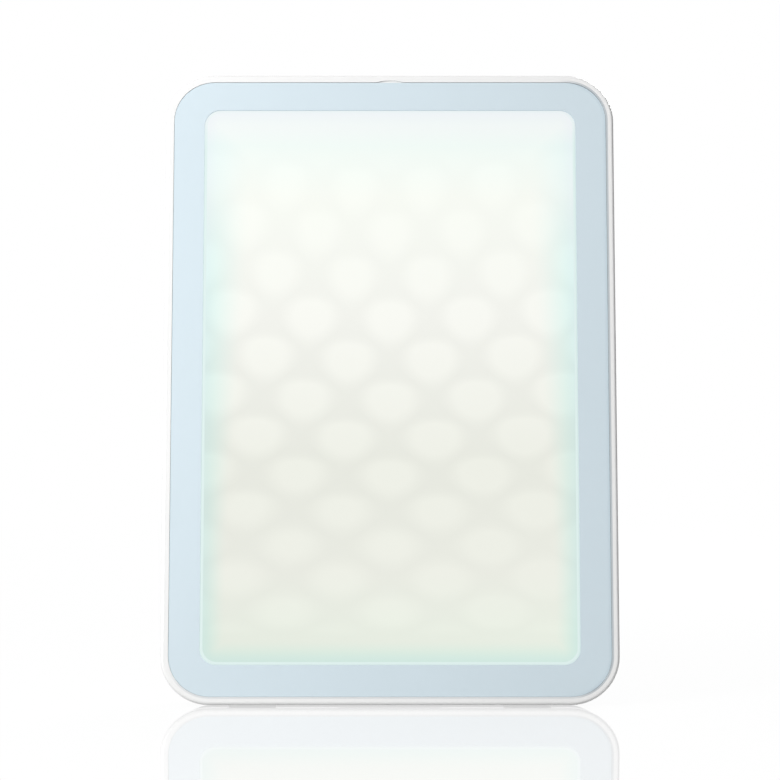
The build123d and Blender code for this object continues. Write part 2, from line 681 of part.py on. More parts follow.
def switch_plunger():
    top = DRIVER_BACK + SWITCH_T
    return rod(0, DRIVER_UP, PLUNGER_R, top - PLUNGER_IN, top + PLUNGER_OUT)


def button_cap():
    foot = DRIVER_BACK + SWITCH_T + PLUNGER_OUT
    rest = SKIN_D - BUTTON_REST_GAP
    top = PANEL_D + BUTTON_PROUD
    cap = rod(0, DRIVER_UP, BUTTON_R, rest, top)
    cap = chamfer(cap.edges().group_by(Axis.Z)[-1], BUTTON_EDGE)
    cap -= rod(0, DRIVER_UP, BUTTON_RECESS_R, top - BUTTON_RECESS, top)
    cap += rod(0, DRIVER_UP, BUTTON_R + BUTTON_FLANGE, rest - BUTTON_FLANGE_T, rest)
    return cap + rod(0, DRIVER_UP, BUTTON_STEM_R, foot, rest)


# ---- inlet and leads ----
def dc_jack():
    rear = PANEL_D - JACK_L
    body = rod(JACK_X, JACK_UP, JACK_R, rear, PANEL_D)
    body += rod(JACK_X, JACK_UP, JACK_REAR_R, rear - JACK_REAR_T, rear)
    flange = rod(JACK_X, JACK_UP, JACK_FLANGE_R, PANEL_D, PANEL_D + JACK_FLANGE_T)
    body += chamfer(flange.edges().group_by(Axis.Z)[-1], JACK_FLANGE_T / 3)
    return body - rod(JACK_X, JACK_UP, JACK_BORE_R, jack_floor(), PANEL_D + JACK_FLANGE_T)


def jack_floor():
    return PANEL_D + JACK_FLANGE_T - JACK_BORE_L


def jack_pin():
    pin = rod(JACK_X, JACK_UP, JACK_PIN_R, jack_floor(), jack_floor() + JACK_PIN_L)
    return chamfer(pin.edges().group_by(Axis.Z)[-1], JACK_PIN_R / 3)


def jack_nut():
    """A hexagon nut that draws the inlet's flange against the cover."""
    ring = RegularPolygon(NUT_SIDE / 2, 6, major_radius=False) - Circle(JACK_R + JACK_FIT)
    return slab(Pos(JACK_X, JACK_UP) * ring, SKIN_D - NUT_T, SKIN_D)


def jack_tags():
    size = (TAG_W, TAG_L, TAG_T)
    return [brick(JACK_X + s * LEAD_PITCH / 2, JACK_UP + TAG_L / 2, size, tag_depth() - TAG_T / 2) for s in (-1, 1)]


def dc_lead_points():
    """Route of the supply leads: straight up from the inlet's tags, then across to the driver board's socket."""
    tag = tag_depth()
    low = DRIVER_UP - DRIVER_H / 2
    x = DRIVER_W / 2 - DC_SOCKET_IN
    return [
        (JACK_X, JACK_UP + TAG_L, tag),
        (JACK_X, low - DC_CROSS_START, tag),
        (x, low - DC_CROSS_END, socket_depth()),
        (x, low - PLUG_SIZE[1] / 2, socket_depth()),
    ]


def led_lead_points():
    """Route of the LED leads: from the driver board's side socket forward to the LED board's socket."""
    side = -DRIVER_W / 2
    up = DRIVER_UP + DRIVER_H / 2 - LED_SOCKET_DROP
    first, second, end = LED_LEAD_RUNS
    plug = HEAT_PLATE_D + LOW_HEADER_T / 2
    return [
        (side - PLUG_SIZE[1] / 2, up, socket_depth()),
        (side - first, up, socket_depth()),
        (side - second, up + LED_LEAD_RISE, plug),
        (side - end, up + LED_LEAD_RISE, plug),
    ]


def tag_depth():
    """Depth of the middle of the inlet's tags, at which the supply leads run."""
    return PANEL_D - JACK_L - JACK_REAR_T - TAG_T / 2


def socket_depth():
    return DRIVER_BACK + HEADER_SIZE[2] / 2


def lead(points, radius):
    """A tube along a route with rounded bends."""
    path = FilletPolyline(*points, radius=LEAD_BEND)
    return sweep(Plane(origin=path @ 0, z_dir=path % 0) * Circle(radius), path=path)


def dc_leads():
    half = LEAD_PITCH / 2
    return [lead([(x + s * half, y, z) for x, y, z in dc_lead_points()], LEAD_R) for s in (-1, 1)]


def led_leads():
    half = LEAD_PITCH / 2
    return [lead([(x, y + s * half, z) for x, y, z in led_lead_points()], LEAD_R) for s in (-1, 1)]


def lead_headers():
    """Sockets on the driver board: one at its lower edge for the supply, one at its side for the LEDs."""
    width, length, depth = HEADER_SIZE
    x0, y0, _ = dc_lead_points()[-1]
    x1, y1, _ = led_lead_points()[0]
    low = brick(x0, y0 + PLUG_SIZE[1] + length / 2, (width, length, depth), DRIVER_BACK)
    side = brick(x1 + PLUG_SIZE[1] + length / 2, y1, (length, width, depth), DRIVER_BACK)
    return [low, side]


def lead_plugs():
    """Housings on the leads' ends, each standing against its socket."""
    width, length, depth = PLUG_SIZE
    x0, y0, z0 = dc_lead_points()[-1]
    x1, y1, z1 = led_lead_points()[0]
    x2, y2, z2 = led_lead_points()[-1]
    return [
        brick(x0, y0 + length / 2, (width, length, depth), z0 - depth / 2),
        brick(x1 + length / 2, y1, (length, width, depth), z1 - depth / 2),
        brick(x2 - length / 4, y2, (length / 2, width, LOW_PLUG_T), z2 - LOW_PLUG_T / 2),
    ]


def lead_clips():
    """Saddles glued to the heat plate over the supply leads."""
    width, length = CLIP_SIZE
    groove = 2 * (LEAD_R + CLIP_CLEAR)
    reach = tag_depth() + LEAD_R + CLIP_CLEAR - REAR_D
    clips = []
    for y in CLIP_ROWS:
        clip = brick(JACK_X, y, (width, length, reach + CLIP_SKIN), REAR_D)
        for s in (-1, 1):
            clip -= brick(JACK_X + s * LEAD_PITCH / 2, y, (groove, length, reach), REAR_D)
        clips.append(clip)
    return clips


# ---- setting up ----
def fixed_pieces():
    """Pieces modelled in the housing's frame, by name."""
    makers = (
        front_bezel, border_frame, front_panel, panel_tape, diffuser_sheet, reflector_tray, led_chips, led_board,
        heat_plate, board_screws, led_connector, led_leads, back_cover, cover_screws, driver_board, driver_screws,
        power_inductor, capacitors, driver_chips, lead_headers, lead_plugs, switch_body, switch_plunger, button_cap,
        dc_jack, jack_pin, jack_nut, jack_tags, dc_leads, lead_clips,
    )  # fmt: skip
    return {maker.__name__: maker() for maker in makers}


def hinge_pieces():
    """Pieces modelled on the hinge axis, by name, with the leg turned open."""
    axis = at(0, HINGE_HEIGHT, HINGE_D)
    turned = axis * Rot(-FOLD_ANGLE, 0, 0)
    return {
        "stand_leg": turned * stand_leg(),
        "leg_pad": turned * leg_pad(),
        "hinge_pin": axis * hinge_pin(),
        "pin_plugs": axis * as_one(pin_plugs()),
    }


def as_one(shape):
    """A piece, or a group of like pieces, as one shape."""
    return Compound(children=[s for part in shape for s in part.solids()]) if isinstance(shape, list) else shape


def lamp():
    """Every piece by name, standing on the table with the origin under the middle of the whole lamp."""
    pieces = {name: PANEL_PLANE.location * as_one(s) for name, s in {**fixed_pieces(), **hinge_pieces()}.items()}
    pieces["foot_pads"] = as_one(foot_pads())
    box = Compound([s for shape in pieces.values() for s in shape.solids()]).bounding_box()
    middle = Pos(0, -(box.min.Y + box.max.Y) / 2, 0)
    return {name: middle * shape for name, shape in pieces.items()}


def main():
    os.makedirs("parts", exist_ok=True)
    for name, shape in lamp().items():
        export_step(shape, f"parts/{name}.step")


if __name__ == "__main__":
    main()
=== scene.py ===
"""Dresses the light therapy lamp: finishes, screw heads, power mark, table, lamps and camera."""

import json
from math import atan2, cos, hypot, pi, radians, sin, tan

import bmesh
import bpy
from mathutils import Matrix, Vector


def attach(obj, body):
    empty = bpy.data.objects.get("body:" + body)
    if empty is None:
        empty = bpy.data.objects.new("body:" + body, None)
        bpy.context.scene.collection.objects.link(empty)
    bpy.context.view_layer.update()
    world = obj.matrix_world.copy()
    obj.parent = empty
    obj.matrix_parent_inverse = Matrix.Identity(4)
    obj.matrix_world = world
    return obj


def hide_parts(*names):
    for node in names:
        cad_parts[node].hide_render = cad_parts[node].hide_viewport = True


bl_info = {
    "name": "Light Therapy Lamp",
    "version": (1, 0, 0),
    "blender": (4, 5, 0),
    "location": "3D View > Sidebar > Lamp",
    "description": "Finishes, small fittings, table and camera for a light therapy lamp",
    "category": "Object",
}

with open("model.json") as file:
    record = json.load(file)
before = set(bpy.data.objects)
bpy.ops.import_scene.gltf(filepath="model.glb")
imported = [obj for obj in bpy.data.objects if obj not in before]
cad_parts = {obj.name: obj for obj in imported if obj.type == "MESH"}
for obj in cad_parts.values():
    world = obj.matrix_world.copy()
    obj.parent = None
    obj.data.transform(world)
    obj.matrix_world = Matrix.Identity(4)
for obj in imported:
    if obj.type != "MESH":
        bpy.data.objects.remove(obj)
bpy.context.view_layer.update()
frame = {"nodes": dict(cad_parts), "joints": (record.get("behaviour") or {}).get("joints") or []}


# ---- where things are, read from the frame ----
def joint_axis(name):
    """Direction of a joint of the frame."""
    return Vector(next(j["axis"] for j in frame["joints"] if j["name"] == name)).normalized()


# The button is pushed straight into the leaning housing, so its travel gives the housing's lean.
DEPTH = -joint_axis("button_press")
UP = Vector((0.0, -DEPTH.z, DEPTH.y))
ACROSS = Vector((1.0, 0.0, 0.0))


def reach(node, direction, skin=None):
    """Lowest and highest reach of a node along a direction, over all of it or a thin skin of its front."""
    points = [v.co for v in frame["nodes"][node].data.vertices]
    if skin is not None:
        front = min(p.dot(DEPTH) for p in points)
        points = [p for p in points if p.dot(DEPTH) < front + skin]
    along = [p.dot(direction) for p in points]
    return min(along), max(along)


FACE_SKIN = 0.0002  # the raised window is all that lies within this of the panel's front
WINDOW_ACROSS = reach("front_panel", ACROSS, FACE_SKIN)
WINDOW_UP = reach("front_panel", UP, FACE_SKIN)
WINDOW_MIDDLE = sum(WINDOW_UP) / 2
WINDOW_HALF = (WINDOW_ACROSS[1], (WINDOW_UP[1] - WINDOW_UP[0]) / 2)
WINDOW_CORNER = 0.009  # radius of its corners
BORDER_UP = reach("border_frame", UP)
BORDER_MIDDLE = sum(BORDER_UP) / 2
BORDER_HALF = (reach("border_frame", ACROSS)[1], (BORDER_UP[1] - BORDER_UP[0]) / 2)
BORDER_CORNER = 0.0226


def islands(node):
    """The separate lumps of a node's mesh, each as a list of points."""
    mesh = bmesh.new()
    mesh.from_mesh(frame["nodes"][node].data)
    bmesh.ops.remove_doubles(mesh, verts=mesh.verts, dist=1e-6)
    left = dict.fromkeys(mesh.verts)  # a dict keeps its order, so every run finds the lumps alike
    lumps = []
    while left:
        stack = [left.popitem()[0]]
        lump = []
        while stack:
            vert = stack.pop()
            lump.append(vert.co.copy())
            for edge in vert.link_edges:
                other = edge.other_vert(vert)
                if other in left:
                    del left[other]
                    stack.append(other)
        lumps.append(lump)
    mesh.free()
    return lumps


# ---- sizes and shares that stay fixed ----
LAST_ROW = 11  # rows of LEDs are counted from 0
BOW_REACH = 0.82  # share of the window's half width at which a row has risen by the whole bow
HOOD_SPAN = (-0.65, -0.2)  # how far above an LED its light is cut off, in rows
HOOD_LEVELS = (0.62, 0.8)  # the cut-off grows softer between these levels of the window
HOOD_FLOORS = (0.1, 0.75)  # light left beyond the cut-off, above and below those levels
CENTRE_RISE = (0.2, 0.42)  # the spots grow wider between these levels
CENTRE_FALL = (0.6, 0.78)  # and narrower again between these
SPOT_FULL = 0.88  # light at which a spot is full
SPOT_WIDER = 0.22  # how much lower that is where the spots are widest
JOINT_SHADE_SIDE = (0.030, 0.008)  # the painted shade along the joint grows between these distances from the border's right side
JOINT_SHADE_FOOT = 0.020  # and the painted shade fades over this height above the border's foot
JOINT_SHADE_FADE = 0.65  # share of the painted shade's reach over the rim at which it starts to fade
BUTTON_DISH = 0.0058  # reach of the button's recess from its middle
MARK_STEPS = 36
MARK_BAR = (0.12, 0.5, 0.9, 1.25)  # points of the power mark's bar, in radii of its ring
CROWN = 0.34  # share of a screw head's height that is rounded
CROWN_STEPS = 4
RECESS_FLOOR = 0.82  # size of the cross recess at its floor
TABLE_SIDE = 12.0
TABLE_GLAZE = 1.2  # refractive index of the table's gloss
MIRROR_ROUGH = 0.03
MIRROR_STRETCH = (1.0, 0.25, 1.0)  # the mirror image reaches four times as far in front and behind
MIRROR_FADE = (0.16, 0.55)  # it fades between these distances to the side
KEY_PLACE = (-0.82, -0.95, 0.85)
KEY_SIDE = 0.5
REAR_PLACE = (0.75, 1.55, 1.05)
REAR_SIDE = 0.7
CARD_PLACE = (0.70, -0.05, 0.3)  # a dark card that only reflections show
CARD_SIZE = (1.2, 1.0)


# ---- settings that a user would change ----
def colour(name, description, value):
    """A colour setting."""
    return bpy.props.FloatVectorProperty(
        name=name, description=description, default=value, subtype="COLOR", size=3, min=0.0, max=1.0
    )


def share(name, description, value):
    """A setting from 0 to 1."""
    return bpy.props.FloatProperty(
        name=name, description=description, default=value, subtype="FACTOR", min=0.0, max=1.0
    )


def length(name, description, value):
    """A length setting in metres."""
    return bpy.props.FloatProperty(
        name=name, description=description, default=value, unit="LENGTH", subtype="DISTANCE", precision=5
    )


class LampColours(bpy.types.PropertyGroup):
    """Colours of the lamp's pieces."""

    rim: colour("Rim", "Glossy white front rim", (0.90, 0.90, 0.895))
    border: colour("Border", "Pale blue band round the window", (0.662, 0.768, 0.828))
    opal: colour("Opal sheet", "Unlit colour of the window", (0.16, 0.165, 0.16))
    cover: colour("Cover", "Moulded back cover", (0.76, 0.77, 0.775))
    leg: colour("Leg", "Fold-out leg", (0.74, 0.75, 0.755))
    button: colour("Button", "Power button", (0.70, 0.72, 0.73))
    # Painted shade: the colour laid along the joint of rim and border, strongest on the right and at the
    # foot.
    joint: colour("Rim joint", "Tint along the joint of rim and border", (0.58, 0.63, 0.67))
    rubber: colour("Rubber", "Feet and leg pad", (0.11, 0.115, 0.12))
    steel: colour("Steel", "Screws and hinge pin", (0.56, 0.56, 0.57))
    board: colour("Driver board", "Solder resist of the driver board", (0.02, 0.16, 0.07))


class GlowSettings(bpy.types.PropertyGroup):
    """The lit window: how the LEDs behind it show through."""

    top: colour("Top glow", "Light of the window just below its top edge", (0.795, 0.805, 0.785))
    crest: colour("Crest glow", "Light of the window above the first LEDs", (0.738, 0.808, 0.772))
    upper: colour("Upper glow", "Light of the window at the first rows of LEDs", (0.785, 0.805, 0.752))
    middle: colour("Middle glow", "Light of the window above half height", (0.770, 0.772, 0.726))
    lower: colour("Lower glow", "Light of the window below half height", (0.690, 0.699, 0.632))
    foot: colour("Foot glow", "Light of the window at its lower edge", (0.672, 0.714, 0.628))
    upper_fringe: colour("Upper fringe tint", "Tint of the window's sides near the top", (0.80, 0.92, 0.975))
    lower_fringe: colour("Fringe tint", "Tint of the window's sides and foot", (0.765, 0.978, 0.985))
    edge_tint: colour("Edge tint", "Tint of the last stretch to the window's edge", (0.985, 0.965, 1.0))
    line_light: colour("Edge line light", "Light of the line round the window", (0.575, 0.70, 0.685))
    drift: share("Sideways drift", "How much the light grows from the middle to one side at the foot", 0.035)
    contrast: share("Spot contrast", "How much darker the sheet is between four LEDs", 0.086)
    upper_contrast: share("Upper contrast", "The same near the top, where the light is more even", 0.030)
    lower_contrast: share("Lower contrast", "The same near the foot", 0.055)
    first_row: length("First row", "From the window's top edge to the first row of LEDs", 0.0440)
    row_pitch: length("Row pitch", "From the first row to the second", 0.02625)
    row_step: length("Row step", "Each row stands closer to the next by this much", 0.00083)
    column_pitch: length("Column pitch", "Between two LEDs of the first row", 0.0385)
    column_step: length("Column step", "Each row is spread wider by this much", 0.00175)
    bow: length("Bow", "How far the first row's light rises toward the sides", 0.008)
    line: length("Edge line", "Width of the bright line round the window", 0.0010)
    fringe: length("Green fringe", "How far the green tint reaches in from the upper edge", 0.027)
    foot_fringe: length("Foot fringe", "How far it reaches in near the foot", 0.014)
    rim_shade: length("Edge shade", "How far the sheet is a little darker along its edge", 0.008)


class FittingSizes(bpy.types.PropertyGroup):
    """Sizes of the small fittings."""

    recess_reach: length("Recess reach", "Half the span of a screw's cross recess", 0.0014)
    recess_arm: length("Recess arm", "Half the width of a recess arm", 0.00036)
    recess_depth: length("Recess depth", "Depth of the cross recess", 0.0009)
    # Reach of the painted shade along the joint of rim and border, over the border and over the rim.
    joint_in: length("Joint on border", "How far the rim joint's grey reaches over the border", 0.0022)
    joint_out: length("Joint on rim", "How far it reaches over the rim", 0.0015)
    mark_radius: length("Mark radius", "Radius of the power mark's ring", 0.0026)
    mark_line: length("Mark line", "Thickness of the power mark's line", 0.00028)
    mark_gap: bpy.props.FloatProperty(
        name="Mark gap", description="Half the opening of the ring", default=radians(32), subtype="ANGLE"
    )


class StageSettings(bpy.types.PropertyGroup):
    """Table, lamps and camera."""

    distance: length("Camera distance", "From the camera to the lamp", 2.8)
    height: length("Aim height", "Height of the point that the camera looks at", 0.1697)
    elevation: bpy.props.FloatProperty(
        name="Camera elevation", description="Angle above the table", default=radians(1.7), subtype="ANGLE"
    )
    lens: bpy.props.FloatProperty(name="Lens", description="Focal length", default=232.2, unit="CAMERA")
    room: bpy.props.FloatProperty(
        name="Room light", description="Strength of the even light", default=0.43, min=0.0
    )
    key: bpy.props.FloatProperty(
        name="Key lamp", description="Power of the key lamp in watts", default=15.0, min=0.0
    )
    rear: bpy.props.FloatProperty(
        name="Rear lamp", description="Power of the lamp behind in watts", default=20.0, min=0.0
    )
    reflection: share("Table reflection", "How much of its low-angle gloss the table shows", 0.65)
    shadow: share("Table shadow", "How much of the table's white comes from the lamps", 0.05)


# ---- node trees ----
class Wiring:
    """Adds nodes to a material or group and feeds their sockets with numbers, colours or other sockets."""

    def __init__(self, tree):
        self.tree = tree

    def node(self, kind, **values):
        """Adds a node and sets its own options."""
        made = self.tree.nodes.new(kind)
        for name, value in values.items():
            setattr(made, name, value)
        return made

    def feed(self, socket, value):
        """Links a socket to another or gives it a value. None leaves it as it is."""
        if isinstance(value, bpy.types.NodeSocket):
            self.tree.links.new(value, socket)
        elif value is not None:
            socket.default_value = value

    def math(self, operation, first, second=None, clamp=False):
        """The result of a Math node."""
        made = self.node("ShaderNodeMath", operation=operation, use_clamp=clamp)
        self.feed(made.inputs[0], first)
        self.feed(made.inputs[1], second)
        return made.outputs[0]

    def dot(self, vector, direction):
        """How far a vector reaches along a direction."""
        made = self.node("ShaderNodeVectorMath", operation="DOT_PRODUCT")
        self.feed(made.inputs[0], vector)
        made.inputs[1].default_value = direction
        return made.outputs["Value"]

    def ramp(self, value, low, high, to_low=0.0, to_high=1.0):
        """Value carried smoothly from the span low to high onto another span."""
        made = self.node("ShaderNodeMapRange", interpolation_type="SMOOTHSTEP")
        for socket, given in zip(made.inputs, (value, low, high, to_low, to_high)):
            self.feed(socket, given)
        return made.outputs[0]

    def blend(self, factor, first, second, mode="MIX"):
        """Two colours mixed by a factor."""
        made = self.node("ShaderNodeMix", data_type="RGBA", blend_type=mode)
        for socket, given in zip((made.inputs[0], made.inputs[6], made.inputs[7]), (factor, first, second)):
            plain = isinstance(given, (tuple, list)) and len(given) == 3
            self.feed(socket, (*given, 1.0) if plain else given)
        return made.outputs[2]

    def noise(self, scale, detail=2.0, rough=0.5, vector=None):
        """Soft noise, over the object's own coordinates unless others are given."""
        made = self.node("ShaderNodeTexNoise")
        self.feed(made.inputs["Vector"], vector or self.node("ShaderNodeTexCoord").outputs["Object"])
        for name, given in (("Scale", scale), ("Detail", detail), ("Roughness", rough)):
            self.feed(made.inputs[name], given)
        return made.outputs[0]

    def seen(self):
        """1 where the camera looks, straight, mirrored or through glass, and 0 for light on its way."""
        path = self.node("ShaderNodeLightPath").outputs
        indirect = self.math("MAXIMUM", path["Is Glossy Ray"], path["Is Transmission Ray"])
        return self.math("MAXIMUM", path["Is Camera Ray"], indirect)

    def group(self, group, **values):
        """Places a shader group and returns its outputs by name."""
        made = self.node("ShaderNodeGroup")
        made.node_tree = group
        for name, given in values.items():
            self.feed(made.inputs[name.replace("_", " ").capitalize()], given)
        return made.outputs

    def bump(self, height, distance):
        """A normal that follows a height."""
        made = self.node("ShaderNodeBump")
        made.inputs["Distance"].default_value = distance
        self.feed(made.inputs["Height"], height)
        return made.outputs[0]


def shader_group(name, takes, gives):
    """An empty shader group with float inputs (name: default) and outputs, and its two end nodes."""
    group = bpy.data.node_groups.new(name, "ShaderNodeTree")
    for label, value in takes.items():
        group.interface.new_socket(label, in_out="INPUT", socket_type="NodeSocketFloat").default_value = value
    for label in gives:
        group.interface.new_socket(label, in_out="OUTPUT", socket_type="NodeSocketFloat")
    wiring = Wiring(group)
    return group, wiring, wiring.node("NodeGroupInput").outputs, wiring.node("NodeGroupOutput").inputs


def once(maker):
    """Makes a shader group the first time it is asked for."""

    def made():
        """The group, made now or before."""
        return bpy.data.node_groups.get(maker.__name__) or maker(maker.__name__)

    return made


@once
def moulded_grain(name):
    """Fine spark-eroded texture of a moulded face, with a slow drift of tone."""
    group, w, takes, gives = shader_group(name, {"Scale": 1800.0}, ("Height", "Tone"))
    fine = w.noise(takes["Scale"], 3.0, 0.6)
    pits = w.node("ShaderNodeTexVoronoi", feature="F1")
    w.feed(pits.inputs["Vector"], w.node("ShaderNodeTexCoord").outputs["Object"])
    w.feed(pits.inputs["Scale"], w.math("MULTIPLY", takes["Scale"], 0.6))
    pitted = w.math("MULTIPLY", pits.outputs[0], 0.3)
    w.feed(gives["Height"], w.math("ADD", w.math("MULTIPLY", fine, 0.7), pitted))
    slow = w.noise(9.0, 3.0, 0.55)
    w.feed(gives["Tone"], w.math("ADD", w.math("MULTIPLY", slow, 0.75), w.math("MULTIPLY", fine, 0.25)))
    return group


@once
def worn_edges(name):
    """Mask of the edges that hands and tables rub."""
    group, w, takes, gives = shader_group(name, {"Amount": 0.5}, ("Mask",))
    edge = w.ramp(w.node("ShaderNodeNewGeometry").outputs["Pointiness"], 0.52, 0.62)
    patchy = w.ramp(w.noise(160.0, 4.0, 0.6), 0.42, 0.64)
    w.feed(gives["Mask"], w.math("MULTIPLY", w.math("MULTIPLY", edge, patchy), takes["Amount"], clamp=True))
    return group


@once
def settled_dust(name):
    """Mask of the dust that lies on faces turned upward."""
    group, w, takes, gives = shader_group(name, {"Amount": 0.5}, ("Mask",))
    normal = w.node("ShaderNodeTexCoord").outputs["Normal"]
    facing = w.ramp(w.dot(normal, (0.0, 0.0, 1.0)), 0.25, 0.95)
    specks = w.ramp(w.noise(700.0, 5.0, 0.7), 0.46, 0.72)
    w.feed(gives["Mask"], w.math("MULTIPLY", w.math("MULTIPLY", facing, specks), takes["Amount"], clamp=True))
    return group


@once
def brushed_lines(name):
    """Long fine lines that run across the lamp, for rolled and brushed metal."""
    group, w, takes, gives = shader_group(name, {"Scale": 900.0}, ("Height", "Tone"))
    stretch = w.node("ShaderNodeMapping")
    w.feed(stretch.inputs["Vector"], w.node("ShaderNodeTexCoord").outputs["Object"])
    stretch.inputs["Scale"].default_value = (0.02, 1.0, 1.0)
    lines = w.noise(takes["Scale"], 3.0, 0.6, stretch.outputs[0])
    w.feed(gives["Height"], lines)
    patchy = w.math("MULTIPLY", w.noise(40.0), 0.4)
    w.feed(gives["Tone"], w.math("ADD", w.math("MULTIPLY", lines, 0.6), patchy))
    return group


@once
def panel_place(name):
    """Where a point lies: across, up from a rounded rectangle's middle, and outside its edge."""
    takes = {
        "Half width": WINDOW_HALF[0],
        "Half height": WINDOW_HALF[1],
        "Radius": WINDOW_CORNER,
        "Middle": WINDOW_MIDDLE,
    }
    group, w, takes, gives = shader_group(name, takes, ("Across", "Up", "Outside"))
    place = w.node("ShaderNodeTexCoord").outputs["Object"]
    across = w.dot(place, ACROSS)
    up = w.math("SUBTRACT", w.dot(place, UP), takes["Middle"])
    beyond = []
    for along, half in ((across, takes["Half width"]), (up, takes["Half height"])):
        beyond.append(w.math("ADD", w.math("SUBTRACT", w.math("ABSOLUTE", along), half), takes["Radius"]))
    far = [w.math("POWER", w.math("MAXIMUM", b, 0.0), 2.0) for b in beyond]
    corner = w.math("SQRT", w.math("ADD", *far))
    inner = w.math("MINIMUM", w.math("MAXIMUM", *beyond), 0.0)
    w.feed(gives["Across"], across)
    w.feed(gives["Up"], up)
    w.feed(gives["Outside"], w.math("SUBTRACT", w.math("ADD", corner, inner), takes["Radius"]))
    return group


@once
def led_lattice(name):
    """How strongly the staggered LEDs show at a point, from 0 to 1, and how far down the window it is."""
    glow = bpy.context.scene.lamp_glow
    takes = {
        "Across": 0.0,
        "Up": 0.0,
        "First row": glow.first_row,
        "Row pitch": glow.row_pitch,
        "Row step": glow.row_step,
        "Column pitch": glow.column_pitch,
        "Column step": glow.column_step,
        "Bow": glow.bow,
    }
    group, w, takes, gives = shader_group(name, takes, ("Glow", "Fall"))
    fall = w.math("SUBTRACT", WINDOW_HALF[1], takes["Up"])
    level = w.math("DIVIDE", fall, 2 * WINDOW_HALF[1], clamp=True)
    spread = w.math("POWER", w.math("DIVIDE", takes["Across"], WINDOW_HALF[0] * BOW_REACH), 2.0)
    rise = w.math("MULTIPLY", w.math("MULTIPLY", spread, takes["Bow"]), w.math("SUBTRACT", 1.0, level))
    below = w.math("SUBTRACT", w.math("ADD", fall, rise), takes["First row"])
    # The rows draw together downward: their fall is P k - S k (k - 1) / 2, solved here for the row number k.
    lead = w.math("ADD", takes["Row pitch"], w.math("MULTIPLY", takes["Row step"], 0.5))
    twice = w.math("MULTIPLY", w.math("MULTIPLY", takes["Row step"], 2.0), below)
    root = w.math("SQRT", w.math("MAXIMUM", w.math("SUBTRACT", w.math("POWER", lead, 2.0), twice), 0.0))
    row = w.math("DIVIDE", w.math("SUBTRACT", lead, root), takes["Row step"])
    pitch = w.math("ADD", takes["Column pitch"], w.math("MULTIPLY", takes["Column step"], row))
    column = w.math("DIVIDE", takes["Across"], pitch)
    half_row = w.math("MULTIPLY", row, 0.5)
    lobes = []
    offsets = []
    for operation in ("ADD", "SUBTRACT"):
        slant = w.math(operation, column, half_row)
        cosine = w.math("COSINE", w.math("MULTIPLY", slant, 2 * pi))
        lobes.append(w.math("MULTIPLY", w.math("SUBTRACT", 1.0, cosine), 0.5))
        offsets.append(w.math("FRACT", slant))
    # A cup throws its light a little downward: a spot is flat above and pointed below, less so near the foot.
    beyond = w.ramp(level, *HOOD_LEVELS, *HOOD_FLOORS)
    hood = w.ramp(w.math("SUBTRACT", *offsets), *HOOD_SPAN, beyond, 1.0)
    central = w.math("SUBTRACT", w.ramp(level, *CENTRE_RISE), w.ramp(level, *CENTRE_FALL))
    full = w.math("SUBTRACT", SPOT_FULL, w.math("MULTIPLY", central, SPOT_WIDER))
    # A spot is brightest where both slanted waves are.
    both = w.math("MULTIPLY", w.math("POWER", w.math("MULTIPLY", *lobes), 0.5), 0.75)
    either = w.math("MULTIPLY", w.math("ADD", *lobes), 0.125)
    shape = w.math("MULTIPLY", w.math("ADD", both, either), hood)
    soft = w.math("DIVIDE", shape, full, clamp=True)
    spots = w.math("MULTIPLY", w.math("ADD", soft, w.ramp(shape, 0.0, full)), 0.5)
    # The pattern ends above the first row and below the last.
    below_top = w.ramp(row, -0.75, -0.2)
    inside = w.math("MULTIPLY", below_top, w.ramp(row, LAST_ROW + 0.4, LAST_ROW + 0.85, 1.0, 0.0))
    w.feed(gives["Glow"], w.math("MULTIPLY", spots, inside))
    w.feed(gives["Fall"], level)
    return group


# ---- materials ----
def finish(name):
    """A new material with its wiring and the sockets of its Principled shader."""
    made = bpy.data.materials.new(name)
    made.use_nodes = True
    wiring = Wiring(made.node_tree)
    return made, wiring, made.node_tree.nodes["Principled BSDF"].inputs


def shifted(value, amount):
    """A colour made lighter (above 1) or darker."""
    return tuple(min(c * amount, 1.0) for c in value)


def moulded_plastic(name, value, rough, grain=1800.0, relief=0.00002, wear=0.25, dust=0.25, coat=0.0):
    """Moulded plastic: fine grain, slow tone drift, paler rubbed edges and a little dust."""
    made, w, skin = finish(name)
    grain_out = w.group(moulded_grain(), scale=grain)
    toned = w.blend(grain_out["Tone"], shifted(value, 0.965), shifted(value, 1.03))
    rubbed = w.blend(w.group(worn_edges(), amount=wear)["Mask"], toned, shifted(value, 1.12))
    dusty = w.blend(w.group(settled_dust(), amount=dust)["Mask"], rubbed, (0.62, 0.60, 0.57))
    w.feed(skin["Base Color"], dusty)
    w.feed(skin["Roughness"], w.ramp(grain_out["Tone"], 0.3, 0.7, rough * 0.9, min(rough * 1.12, 1.0)))
    w.feed(skin["Normal"], w.bump(grain_out["Height"], relief))
    skin["Coat Weight"].default_value = coat
    skin["Coat Roughness"].default_value = 0.06
    skin["IOR"].default_value = 1.49
    return made


def soft_rubber(name, value):
    """Moulded rubber: dull, finely pitted, greyed by dust where it is handled."""
    made, w, skin = finish(name)
    grain = w.group(moulded_grain(), scale=2600.0)
    toned = w.blend(grain["Tone"], shifted(value, 0.8), shifted(value, 1.25))
    dusty = w.blend(w.group(worn_edges(), amount=0.5)["Mask"], toned, (0.22, 0.215, 0.21))
    w.feed(skin["Base Color"], dusty)
    w.feed(skin["Roughness"], w.ramp(grain["Height"], 0.2, 0.8, 0.72, 0.92))
    w.feed(skin["Normal"], w.bump(grain["Height"], 0.00004))
    return made


